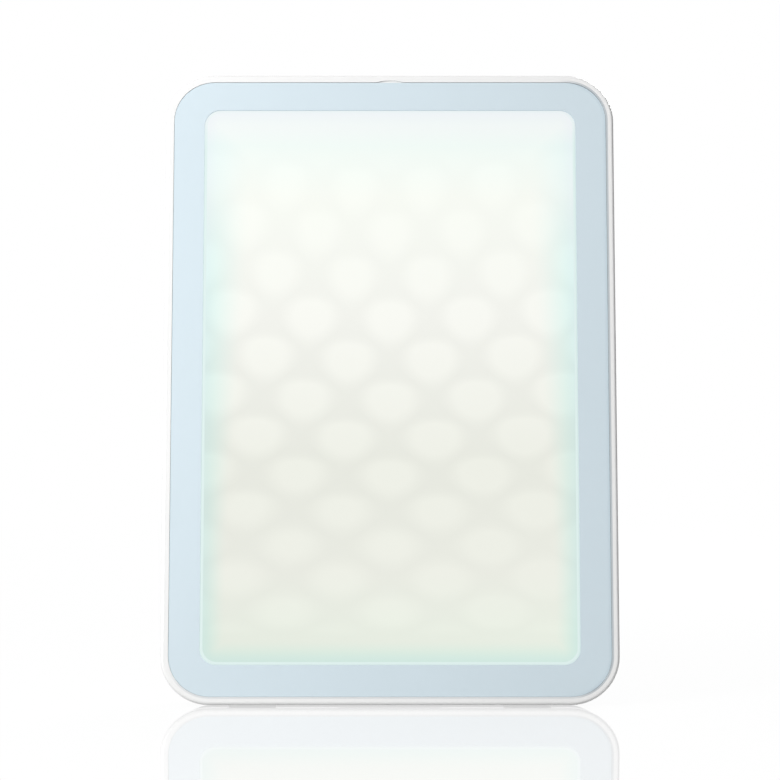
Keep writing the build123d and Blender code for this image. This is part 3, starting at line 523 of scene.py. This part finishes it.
def metal(name, value, rough, lines=900.0, relief=0.000006):
    """Rolled or turned metal with fine lines and handling marks."""
    made, w, skin = finish(name)
    brushed = w.group(brushed_lines(), scale=lines)
    marks = w.ramp(w.noise(220.0, 5.0, 0.7), 0.55, 0.75)
    toned = w.blend(brushed["Tone"], shifted(value, 0.86), shifted(value, 1.14))
    w.feed(skin["Base Color"], w.blend(w.math("MULTIPLY", marks, 0.35), toned, shifted(value, 0.7)))
    w.feed(skin["Roughness"], w.ramp(brushed["Tone"], 0.3, 0.7, rough * 0.8, rough * 1.3))
    w.feed(skin["Normal"], w.bump(brushed["Height"], relief))
    skin["Metallic"].default_value = 1.0
    return made


def circuit_board(name, resist, traces, scale):
    """A printed board: solder resist over traces that show as slightly paler lines."""
    made, w, skin = finish(name)
    place = w.node("ShaderNodeTexCoord").outputs["Object"]
    tracks = w.node("ShaderNodeTexBrick", offset=0.37, squash=0.6, squash_frequency=3)
    w.feed(tracks.inputs["Vector"], place)
    w.feed(tracks.inputs["Scale"], scale)
    tracks.inputs["Mortar Size"].default_value = 0.06
    copper = w.ramp(tracks.outputs["Fac"], 0.2, 0.8)
    weave = w.node("ShaderNodeTexWave")
    w.feed(weave.inputs["Vector"], place)
    weave.inputs["Scale"].default_value = 900.0
    base = w.blend(copper, resist, traces)
    threads = w.math("MULTIPLY", weave.outputs[1], 0.08)
    w.feed(skin["Base Color"], w.blend(threads, base, shifted(resist, 0.6)))
    w.feed(skin["Roughness"], w.ramp(w.noise(300.0), 0.3, 0.7, 0.28, 0.42))
    w.feed(skin["Normal"], w.bump(copper, 0.00002))
    return made


def lit_opal(name):
    """The lit window: staggered LEDs behind an opal sheet, more even above and greener at the edges."""
    glow = bpy.context.scene.lamp_glow
    made, w, skin = finish(name)
    place = w.group(panel_place())
    leds = w.group(led_lattice(), across=place["Across"], up=place["Up"])
    light = w.node("ShaderNodeValToRGB")
    w.feed(light.inputs[0], leds["Fall"])
    stops = light.color_ramp.elements
    stops[0].position = 0.03
    stops[0].color = (*glow.top, 1.0)
    stops[1].position = 0.95
    stops[1].color = (*glow.foot, 1.0)
    between = (
        (0.065, glow.crest),
        (0.16, glow.upper),
        (0.38, glow.middle),
        (0.64, glow.lower),
        (0.84, glow.lower),
    )
    for position, value in between:
        stops.new(position).color = (*value, 1.0)
    sparkle = w.noise(2600.0, 2.0, 0.6)
    upper = w.ramp(leds["Fall"], 0.1, 0.5, glow.upper_contrast, glow.contrast)
    lost = w.ramp(leds["Fall"], 0.65, 0.95, 0.0, glow.contrast - glow.lower_contrast)
    depth = w.math("SUBTRACT", upper, lost)
    dim = w.math("MULTIPLY", w.math("SUBTRACT", 1.0, leds["Glow"]), depth)
    dim = w.math("ADD", dim, w.math("MULTIPLY", w.math("SUBTRACT", sparkle, 0.5), 0.03))
    sideways = w.math("MULTIPLY", place["Across"], glow.drift / WINDOW_HALF[0])
    dim = w.math("SUBTRACT", dim, w.math("MULTIPLY", sideways, leds["Fall"]))
    spotted = w.blend(dim, light.outputs[0], (0.0, 0.0, 0.0))
    inward = w.math("MULTIPLY", place["Outside"], -1.0)
    reach_in = w.ramp(leds["Fall"], 0.1, 0.9, glow.fringe, glow.foot_fringe)
    strength = w.ramp(leds["Fall"], 0.02, 0.3, 0.45, 1.0)
    fringe = w.ramp(w.math("DIVIDE", inward, reach_in), 0.0, 1.0, strength, 0.0)
    tint = w.blend(w.ramp(leds["Fall"], 0.1, 0.35), tuple(glow.upper_fringe), tuple(glow.lower_fringe))
    tinted = w.blend(fringe, spotted, tint, "MULTIPLY")
    edge_shade = w.ramp(inward, 0.0, glow.rim_shade, 1.0, 0.0)
    tinted = w.blend(edge_shade, tinted, tuple(glow.edge_tint), "MULTIPLY")
    on_line = w.ramp(inward, glow.line * 0.7, glow.line * 1.3, 1.0, 0.0)
    edge = w.math("MULTIPLY", on_line, w.ramp(leds["Fall"], 0.0, 0.08, 0.25, 1.0))
    w.feed(skin["Emission Color"], w.blend(edge, tinted, tuple(glow.line_light)))
    skin["Emission Strength"].default_value = 1.0
    opal = tuple(bpy.context.scene.lamp_colours.opal)
    w.feed(skin["Base Color"], w.blend(sparkle, shifted(opal, 0.94), shifted(opal, 1.06)))
    w.feed(skin["Roughness"], w.ramp(sparkle, 0.3, 0.7, 0.5, 0.62))
    w.feed(skin["Normal"], w.bump(sparkle, 0.000006))
    skin["Specular IOR Level"].default_value = 0.2
    return made


def satin_border(name):
    """The pale blue band: satin paint with a fine fleck, and painted shade that makes it a touch deeper next
    to the window.
    """
    made, w, skin = finish(name)
    value = tuple(bpy.context.scene.lamp_colours.border)
    place = w.group(panel_place())
    grain = w.group(moulded_grain(), scale=2400.0)
    toned = w.blend(grain["Tone"], shifted(value, 0.975), shifted(value, 1.02))
    # Painted shade: the band darkens by a tenth over its last 2.2 mm next to the window.
    shade = w.math("MULTIPLY", w.ramp(place["Outside"], 0.0, 0.0022, 1.0, 0.0), 0.10)
    w.feed(skin["Base Color"], w.blend(shade, toned, shifted(value, 0.78)))
    w.feed(skin["Roughness"], w.ramp(grain["Height"], 0.2, 0.8, 0.55, 0.68))
    w.feed(skin["Normal"], w.bump(grain["Height"], 0.000012))
    skin["Specular IOR Level"].default_value = 0.3
    return made


def grey_joint(material, shade_at_right, shade_at_foot):
    """Paints shade into a finish along the joint of rim and border, by one share on the right and another at
    the foot.
    """
    sizes = bpy.context.scene.lamp_fittings
    w = Wiring(material.node_tree)
    skin = material.node_tree.nodes["Principled BSDF"].inputs
    half_width, half_height = BORDER_HALF
    place = w.group(
        panel_place(),
        half_width=half_width,
        half_height=half_height,
        radius=BORDER_CORNER,
        middle=BORDER_MIDDLE,
    )
    # Painted shade: the finish is greyed at the joint on the right and at the foot, the sides turned from the
    # key lamp.
    over_border = w.ramp(place["Outside"], -sizes.joint_in, 0.0)
    over_rim = w.ramp(place["Outside"], sizes.joint_out * JOINT_SHADE_FADE, sizes.joint_out, 1.0, 0.0)
    right = w.ramp(place["Across"], half_width - JOINT_SHADE_SIDE[0], half_width - JOINT_SHADE_SIDE[1], 0.0, shade_at_right)
    foot = w.ramp(place["Up"], -half_height, JOINT_SHADE_FOOT - half_height, shade_at_foot, 0.0)
    joint_shade_mask = w.math("MULTIPLY", w.math("MULTIPLY", over_border, over_rim), w.math("MAXIMUM", right, foot))
    base = skin["Base Color"].links[0].from_socket
    tint = tuple(bpy.context.scene.lamp_colours.joint)
    w.feed(skin["Base Color"], w.blend(joint_shade_mask, base, tint, "MULTIPLY"))
    return material


def led_phosphor(name):
    """An LED's yellow phosphor in its pale frame."""
    made, w, skin = finish(name)
    cells = w.noise(4200.0, 2.0, 0.6)
    value = w.blend(cells, (0.86, 0.62, 0.12), (0.95, 0.78, 0.25))
    w.feed(skin["Base Color"], value)
    w.feed(skin["Emission Color"], w.blend(cells, (1.0, 0.93, 0.78), (1.0, 0.98, 0.9)))
    skin["Emission Strength"].default_value = 1.5
    w.feed(skin["Roughness"], w.ramp(cells, 0.3, 0.7, 0.3, 0.5))
    return made


def paint(node, material):
    """Gives a CAD node its finish."""
    slots = frame["nodes"][node].data.materials
    slots.clear()
    slots.append(material)


# ---- meshes ----
def new_piece(name, mesh, material, body):
    """A new object that rides on a body and fills a slot."""
    data = bpy.data.meshes.new(name)
    bmesh.ops.recalc_face_normals(mesh, faces=mesh.faces)
    mesh.to_mesh(data)
    mesh.free()
    piece = bpy.data.objects.new(name, data)
    bpy.context.scene.collection.objects.link(piece)
    data.materials.append(material)
    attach(piece, body)
    return piece


def panel_point(across, up, depth):
    """A point given along the housing's own directions."""
    return ACROSS * across + UP * up + DEPTH * depth


def add_ring(mesh, points):
    """New corners at these points."""
    return [mesh.verts.new(p) for p in points]


def join_rings(mesh, first, second):
    """Smooth faces between two rings with as many corners."""
    for i, vert in enumerate(first):
        face = mesh.faces.new((first[i - 1], vert, second[i], second[i - 1]))
        face.smooth = True


def cross_reach(angle, arm, half):
    """How far a cross reaches at an angle, from the half width of its arms and its half span."""
    folded = abs((angle + pi / 4) % (pi / 2) - pi / 4)
    return half / cos(folded) if tan(folded) * half < arm else arm / sin(folded)


def cross_screw(mesh, across, up, seat, head_r, top, shank_r, tip):
    """A pan-head screw with a cross recess, head toward the back."""
    sizes = bpy.context.scene.lamp_fittings
    arm, half = sizes.recess_arm, sizes.recess_reach
    notch = atan2(arm, half)
    octant = (0.0, notch * 0.6, notch, (notch + pi / 4) / 2)
    angles = []
    for quarter in range(4):
        for side in (0, 1):
            run = octant if side == 0 else [pi / 2 - a for a in (pi / 4, *reversed(octant[1:]))]
            angles += [quarter * pi / 2 + a for a in run]
    crown = (top - seat) * CROWN

    def ring(radius, depth):
        """A round ring about the screw's axis."""
        spots = [panel_point(across + radius * cos(a), up + radius * sin(a), depth) for a in angles]
        return add_ring(mesh, spots)

    def cross(grow, depth):
        """A ring along the outline of the cross recess."""
        spots = []
        for a in angles:
            r = cross_reach(a, arm, half) * grow
            spots.append(panel_point(across + r * cos(a), up + r * sin(a), depth))
        return add_ring(mesh, spots)

    rings = [ring(shank_r * 0.3, tip), ring(shank_r, tip + shank_r), ring(shank_r, seat), ring(head_r, seat)]
    for step in range(CROWN_STEPS + 1):
        lean = step / CROWN_STEPS * pi / 2
        rings.append(ring(head_r - crown * (1 - cos(lean)), top - crown + crown * sin(lean)))
    rings.append(cross(1.0, top))
    rings.append(cross(RECESS_FLOOR, top - sizes.recess_depth))
    for first, second in zip(rings, rings[1:]):
        join_rings(mesh, first, second)
    mesh.faces.new(rings[0])
    mesh.faces.new(rings[-1])


def bead(mesh, centres, radius, normal, sides=10):
    """A rounded line along a path of points, laid on a face with the given normal, with closed round ends."""
    rings = []
    last = len(centres) - 1
    for i, centre in enumerate(centres):
        run = (centres[min(i + 1, last)] - centres[max(i - 1, 0)]).normalized()
        side = run.cross(normal).normalized()
        turns = [2 * pi * k / sides for k in range(sides)]
        spots = [centre + side * radius * cos(t) + normal * radius * sin(t) for t in turns]
        rings.append(add_ring(mesh, spots))
    for first, second in zip(rings, rings[1:]):
        join_rings(mesh, first, second)
    for end in (rings[0], rings[-1]):
        mesh.faces.new(end)


# ---- operators ----
class LampOperator:
    """What the lamp's operators share."""

    bl_options = {"REGISTER", "UNDO"}


class LAMP_OT_front_frame(LampOperator, bpy.types.Operator):
    """Finish the glossy rim and the pale blue border"""

    bl_idname = "lamp.front_frame"
    bl_label = "Rim and Border"

    def execute(self, context):
        colours = context.scene.lamp_colours
        rim = moulded_plastic(
            "polished_white_rim", tuple(colours.rim),
            rough=0.16, grain=600.0, relief=0.000002, wear=0.15, dust=0.1, coat=0.6,
        )
        # Both get painted shade along their joint: the rim fully on the right and partly at the foot, the
        # border a little on the right.
        paint("front_bezel", grey_joint(rim, shade_at_right=1.0, shade_at_foot=0.45))
        paint("border_frame", grey_joint(satin_border("satin_blue_border"), shade_at_right=0.25, shade_at_foot=0.0))
        return {"FINISHED"}


class LAMP_OT_window(LampOperator, bpy.types.Operator):
    """Light the opal window and finish the sheets behind it"""

    bl_idname = "lamp.window"
    bl_label = "Window"

    def execute(self, context):
        paint("front_panel", lit_opal("lit_opal_window"))
        tape = moulded_plastic("foam_tape", (0.24, 0.24, 0.245), rough=0.85, grain=3200.0, relief=0.00003)
        paint("panel_tape", tape)
        diffuser = moulded_plastic(
            "diffuser_opal", (0.82, 0.82, 0.80),
            rough=0.5, grain=3000.0, relief=0.000005,
        )
        paint("diffuser_sheet", diffuser)
        return {"FINISHED"}


class LAMP_OT_light_engine(LampOperator, bpy.types.Operator):
    """Finish the reflector tray, the LEDs, their board and the heat plate"""

    bl_idname = "lamp.light_engine"
    bl_label = "Light Engine"

    def execute(self, context):
        tray = moulded_plastic("white_reflector", (0.84, 0.84, 0.83), rough=0.42, grain=2000.0)
        paint("reflector_tray", tray)
        paint("led_chips", led_phosphor("led_phosphor"))
        paint("led_board", circuit_board("white_led_board", (0.80, 0.80, 0.78), (0.68, 0.70, 0.69), 60.0))
        paint("heat_plate", metal("rolled_aluminium", (0.78, 0.79, 0.80), rough=0.34))
        paint("led_connector", moulded_plastic("led_socket_nylon", (0.78, 0.77, 0.73), rough=0.5))
        return {"FINISHED"}


class LAMP_OT_back_cover(LampOperator, bpy.types.Operator):
    """Finish the back cover"""

    bl_idname = "lamp.back_cover"
    bl_label = "Back Cover"

    def execute(self, context):
        value = tuple(context.scene.lamp_colours.cover)
        cover = moulded_plastic(
            "spark_grain_cover", value,
            rough=0.5, grain=1500.0, relief=0.00003, wear=0.3, dust=0.35,
        )
        paint("back_cover", cover)
        return {"FINISHED"}


class LAMP_OT_screws(LampOperator, bpy.types.Operator):
    """Make the cover's screws with cross recesses and finish the screws inside"""

    bl_idname = "lamp.screws"
    bl_label = "Screws"

    def execute(self, context):
        steel = metal("zinc_plated_steel", tuple(context.scene.lamp_colours.steel), rough=0.3, lines=1600.0)
        for node in ("board_screws", "driver_screws"):
            paint(node, steel)
        mesh = bmesh.new()
        for lump in islands("cover_screws"):
            across = [p.dot(ACROSS) for p in lump]
            up = [p.dot(UP) for p in lump]
            depth = sorted(p.dot(DEPTH) for p in lump)
            x = (min(across) + max(across)) / 2
            y = (min(up) + max(up)) / 2
            radii = {round(p.dot(DEPTH), 5): hypot(p.dot(ACROSS) - x, p.dot(UP) - y) for p in lump}
            head_r = (max(across) - min(across)) / 2
            shank_r = radii[round(depth[0], 5)]
            seat = min(d for d in depth if d > depth[0] + head_r)
            cross_screw(mesh, x, y, seat, head_r, depth[-1], shank_r, depth[0])
        heads = new_piece("cover_screw_set", mesh, steel, "housing")
        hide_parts("cover_screws")
        return {"FINISHED"}


class LAMP_OT_feet(LampOperator, bpy.types.Operator):
    """Finish the rubber feet"""

    bl_idname = "lamp.feet"
    bl_label = "Feet"

    def execute(self, context):
        paint("foot_pads", soft_rubber("foot_rubber_grey", tuple(context.scene.lamp_colours.rubber)))
        return {"FINISHED"}


class LAMP_OT_leg(LampOperator, bpy.types.Operator):
    """Finish the fold-out leg, its pad, its pin and the plugs over the pin"""

    bl_idname = "lamp.leg"
    bl_label = "Leg"

    def execute(self, context):
        colours = context.scene.lamp_colours
        leg = moulded_plastic(
            "satin_leg", tuple(colours.leg),
            rough=0.42, grain=1700.0, relief=0.00002, wear=0.45, dust=0.3,
        )
        paint("stand_leg", leg)
        paint("leg_pad", soft_rubber("leg_pad_rubber", tuple(colours.rubber)))
        paint("hinge_pin", metal("ground_pin_steel", tuple(colours.steel), rough=0.2, lines=2400.0))
        paint("pin_plugs", moulded_plastic("plug_nylon", tuple(colours.cover), rough=0.45))
        return {"FINISHED"}


class LAMP_OT_button(LampOperator, bpy.types.Operator):
    """Finish the power button and raise the power mark in its recess"""

    bl_idname = "lamp.button"
    bl_label = "Power Button"

    def execute(self, context):
        value = tuple(context.scene.lamp_colours.button)
        sizes = context.scene.lamp_fittings
        cap = moulded_plastic(
            "satin_button", value,
            rough=0.35, grain=1900.0, relief=0.00001, wear=0.4, dust=0.2, coat=0.2,
        )
        paint("button_cap", cap)
        paint("switch_plunger", moulded_plastic("plunger_acetal", (0.45, 0.46, 0.47), rough=0.4))
        paint("switch_body", moulded_plastic("switch_housing", (0.05, 0.05, 0.055), rough=0.5))
        middle = sum(reach("button_cap", UP)) / 2
        points = [v.co for v in frame["nodes"]["button_cap"].data.vertices]
        dish = [p for p in points if hypot(p.dot(ACROSS), p.dot(UP) - middle) < BUTTON_DISH]
        floor = max(p.dot(DEPTH) for p in dish)
        mesh = bmesh.new()
        sweep = 2 * pi - 2 * sizes.mark_gap
        turns = [pi / 2 + sizes.mark_gap + sweep * i / MARK_STEPS for i in range(MARK_STEPS + 1)]
        radius = sizes.mark_radius
        ring = [panel_point(radius * cos(t), middle + radius * sin(t), floor) for t in turns]
        bead(mesh, ring, sizes.mark_line / 2, DEPTH)
        bar = [panel_point(0.0, middle + radius * f, floor) for f in MARK_BAR]
        bead(mesh, bar, sizes.mark_line / 2, DEPTH)
        ink = moulded_plastic(
            "grey_mark", (0.24, 0.27, 0.30),
            rough=0.4, grain=2500.0, relief=0.000004, wear=0.1, dust=0.1,
        )
        new_piece("power_mark", mesh, ink, "power_button")
        return {"FINISHED"}


class LAMP_OT_inlet(LampOperator, bpy.types.Operator):
    """Finish the low-voltage inlet"""

    bl_idname = "lamp.inlet"
    bl_label = "Inlet"

    def execute(self, context):
        inlet = moulded_plastic(
            "inlet_black", (0.035, 0.035, 0.038),
            rough=0.4, grain=2200.0, relief=0.00001, wear=0.5, dust=0.4,
        )
        paint("dc_jack", inlet)
        nickel = metal("nickel_plate", (0.66, 0.63, 0.58), rough=0.2, lines=2600.0)
        for node in ("jack_pin", "jack_nut", "jack_tags"):
            paint(node, nickel)
        return {"FINISHED"}


class LAMP_OT_driver(LampOperator, bpy.types.Operator):
    """Finish the driver board and what stands on it"""

    bl_idname = "lamp.driver"
    bl_label = "Driver Board"

    def execute(self, context):
        resist = tuple(context.scene.lamp_colours.board)
        paint("driver_board", circuit_board("green_driver_board", resist, (0.05, 0.27, 0.12), 140.0))
        ferrite = moulded_plastic("ferrite", (0.07, 0.068, 0.065), rough=0.7, grain=1200.0, relief=0.00004)
        paint("power_inductor", ferrite)
        paint("capacitors", metal("can_aluminium", (0.72, 0.73, 0.75), rough=0.28))
        epoxy = moulded_plastic("chip_epoxy", (0.03, 0.03, 0.032), rough=0.55, grain=2800.0, relief=0.00001)
        paint("driver_chips", epoxy)
        nylon = moulded_plastic("connector_nylon", (0.80, 0.79, 0.74), rough=0.5)
        for node in ("lead_headers", "lead_plugs"):
            paint(node, nylon)
        return {"FINISHED"}


class LAMP_OT_leads(LampOperator, bpy.types.Operator):
    """Finish the leads inside and their saddles"""

    bl_idname = "lamp.leads"
    bl_label = "Leads"

    def execute(self, context):
        black = moulded_plastic(
            "black_lead_jacket", (0.04, 0.04, 0.043),
            rough=0.45, grain=1500.0, relief=0.00001,
        )
        paint("dc_leads", black)
        white = moulded_plastic(
            "white_lead_jacket", (0.75, 0.75, 0.74),
            rough=0.45, grain=1500.0, relief=0.00001,
        )
        paint("led_leads", white)
        paint("lead_clips", moulded_plastic("clip_nylon", (0.74, 0.73, 0.68), rough=0.5))
        return {"FINISHED"}


# ---- table, lamps and room ----
def white_table():
    """The table's white, with a soft shadow and a faint mirror image of the lamp."""
    stage = bpy.context.scene.lamp_stage
    made = bpy.data.materials.new("white_table")
    made.use_nodes = True
    made.node_tree.nodes.clear()
    w = Wiring(made.node_tree)
    place = w.node("ShaderNodeTexCoord").outputs["Object"]
    squeezed = w.node("ShaderNodeVectorMath", operation="MULTIPLY")
    w.feed(squeezed.inputs[0], place)
    squeezed.inputs[1].default_value = MIRROR_STRETCH
    far = w.node("ShaderNodeVectorMath", operation="LENGTH")
    w.feed(far.inputs[0], squeezed.outputs[0])
    near = w.ramp(far.outputs["Value"], *MIRROR_FADE, 1.0, 0.0)
    white = w.node("ShaderNodeEmission")
    lit = w.node("ShaderNodeBsdfDiffuse")
    ripple = w.noise(30.0, 2.0, 0.5, place)
    w.feed(lit.inputs["Color"], w.blend(ripple, (0.93, 0.93, 0.93), (0.97, 0.97, 0.97)))
    bounce = w.node("ShaderNodeBsdfDiffuse")
    w.feed(bounce.inputs["Color"], w.blend(ripple, (0.48, 0.48, 0.48), (0.52, 0.52, 0.52)))
    mirror = w.node("ShaderNodeBsdfGlossy")
    mirror.inputs["Color"].default_value = (1.0, 1.0, 1.0, 1.0)
    mirror.inputs["Roughness"].default_value = MIRROR_ROUGH
    glaze = w.node("ShaderNodeFresnel")
    glaze.inputs["IOR"].default_value = TABLE_GLAZE
    gloss = w.math("MULTIPLY", glaze.outputs[0], stage.reflection)

    def mixed(factor, first, second):
        """Two shaders mixed by a factor."""
        node = w.node("ShaderNodeMixShader")
        w.feed(node.inputs[0], factor)
        w.feed(node.inputs[1], first)
        w.feed(node.inputs[2], second)
        return node.outputs[0]

    base = mixed(w.math("MULTIPLY", near, stage.shadow), white.outputs[0], lit.outputs[0])
    glossy = mixed(w.math("MULTIPLY", near, gloss), base, mirror.outputs[0])
    out = w.node("ShaderNodeOutputMaterial")
    w.feed(out.inputs[0], mixed(w.seen(), bounce.outputs[0], glossy))
    return made


def flat_card(name, centre, facing, width, height, material):
    """A flat rectangle turned toward a point."""
    mesh = bmesh.new()
    look = (Vector(facing) - Vector(centre)).normalized()
    side = look.cross(Vector((0.0, 0.0, 1.0)))
    side = side.normalized() if side.length > 1e-6 else Vector((1.0, 0.0, 0.0))
    rise = side.cross(look)
    corners = ((-1, -1), (1, -1), (1, 1), (-1, 1))
    spots = [Vector(centre) + side * a * width / 2 + rise * b * height / 2 for a, b in corners]
    mesh.faces.new(add_ring(mesh, spots))
    data = bpy.data.meshes.new(name)
    mesh.to_mesh(data)
    mesh.free()
    card = bpy.data.objects.new(name, data)
    data.materials.append(material)
    bpy.context.scene.collection.objects.link(card)
    return card


def area_lamp(name, place, aim, size, watts):
    """A soft square lamp aimed at a point."""
    data = bpy.data.lights.new(name, "AREA")
    data.size = size
    data.energy = watts
    lamp = bpy.data.objects.new(name, data)
    lamp.location = place
    lamp.rotation_euler = (Vector(aim) - Vector(place)).to_track_quat("-Z", "Y").to_euler()
    bpy.context.scene.collection.objects.link(lamp)
    return lamp


def studio_world(strength):
    """Even light, which shows white to the camera, in reflections and through glass."""
    world = bpy.data.worlds.new("studio")
    world.use_nodes = True
    world.node_tree.nodes.clear()
    w = Wiring(world.node_tree)
    back = w.node("ShaderNodeBackground")
    back.inputs["Color"].default_value = (1.0, 1.0, 1.0, 1.0)
    w.feed(back.inputs["Strength"], w.ramp(w.seen(), 0.0, 1.0, strength, 1.0))
    w.feed(w.node("ShaderNodeOutputWorld").inputs[0], back.outputs[0])
    bpy.context.scene.world = world


class LAMP_OT_stage(LampOperator, bpy.types.Operator):
    """Set up the table, the lamps, the white room and the camera"""

    bl_idname = "lamp.stage"
    bl_label = "Table, Lamps and Camera"

    def execute(self, context):
        scene = context.scene
        stage = scene.lamp_stage
        table = flat_card("table", (0, 0, 0), (0, 0, 1), TABLE_SIDE, TABLE_SIDE, white_table())
        if table.data.polygons[0].normal.z < 0:
            table.data.flip_normals()
        aim = (0.0, 0.0, stage.height)
        area_lamp("key_lamp", KEY_PLACE, aim, KEY_SIDE, stage.key)
        area_lamp("rear_lamp", REAR_PLACE, aim, REAR_SIDE, stage.rear)
        dark = bpy.data.materials.new("dark_card")
        dark.use_nodes = True
        dark.node_tree.nodes["Principled BSDF"].inputs["Base Color"].default_value = (0.08, 0.08, 0.085, 1.0)
        card = flat_card("shade_card", CARD_PLACE, aim, *CARD_SIZE, dark)
        card.visible_camera = False
        studio_world(stage.room)
        data = bpy.data.cameras.new("camera")
        data.lens = stage.lens
        data.sensor_width = 36.0
        data.clip_end = 50.0
        camera = bpy.data.objects.new("camera", data)
        back = stage.distance * cos(stage.elevation)
        camera.location = (0.0, -back, stage.height + stage.distance * sin(stage.elevation))
        camera.rotation_euler = (Vector(aim) - camera.location).to_track_quat("-Z", "Y").to_euler()
        scene.collection.objects.link(camera)
        scene.camera = camera
        scene.view_settings.view_transform = "Standard"
        return {"FINISHED"}


STEPS = (
    LAMP_OT_stage,
    LAMP_OT_front_frame,
    LAMP_OT_window,
    LAMP_OT_light_engine,
    LAMP_OT_back_cover,
    LAMP_OT_screws,
    LAMP_OT_feet,
    LAMP_OT_leg,
    LAMP_OT_button,
    LAMP_OT_inlet,
    LAMP_OT_driver,
    LAMP_OT_leads,
)
SETTINGS = {
    "lamp_colours": LampColours,
    "lamp_glow": GlowSettings,
    "lamp_fittings": FittingSizes,
    "lamp_stage": StageSettings,
}


class LAMP_PT_build(bpy.types.Panel):
    """Lists the lamp's settings and the steps that build it."""

    bl_label = "Light Therapy Lamp"
    bl_space_type = "VIEW_3D"
    bl_region_type = "UI"
    bl_category = "Lamp"

    def draw(self, context):
        for name, kind in SETTINGS.items():
            box = self.layout.box()
            box.label(text=kind.__doc__)
            for field in kind.__annotations__:
                box.prop(getattr(context.scene, name), field)
        for step in STEPS:
            self.layout.operator(step.bl_idname)


def register():
    """Registers the settings, the operators and the panel."""
    for kind in (*SETTINGS.values(), *STEPS, LAMP_PT_build):
        bpy.utils.register_class(kind)
    for name, kind in SETTINGS.items():
        setattr(bpy.types.Scene, name, bpy.props.PointerProperty(type=kind))


def unregister():
    """Takes them away again."""
    for name in SETTINGS:
        delattr(bpy.types.Scene, name)
    for kind in (LAMP_PT_build, *reversed(STEPS), *SETTINGS.values()):
        bpy.utils.unregister_class(kind)


def main():
    """Builds the whole scene step by step."""
    register()
    for step in STEPS:
        group, name = step.bl_idname.split(".")
        getattr(getattr(bpy.ops, group), name)()


if __name__ == "__main__":
    main()
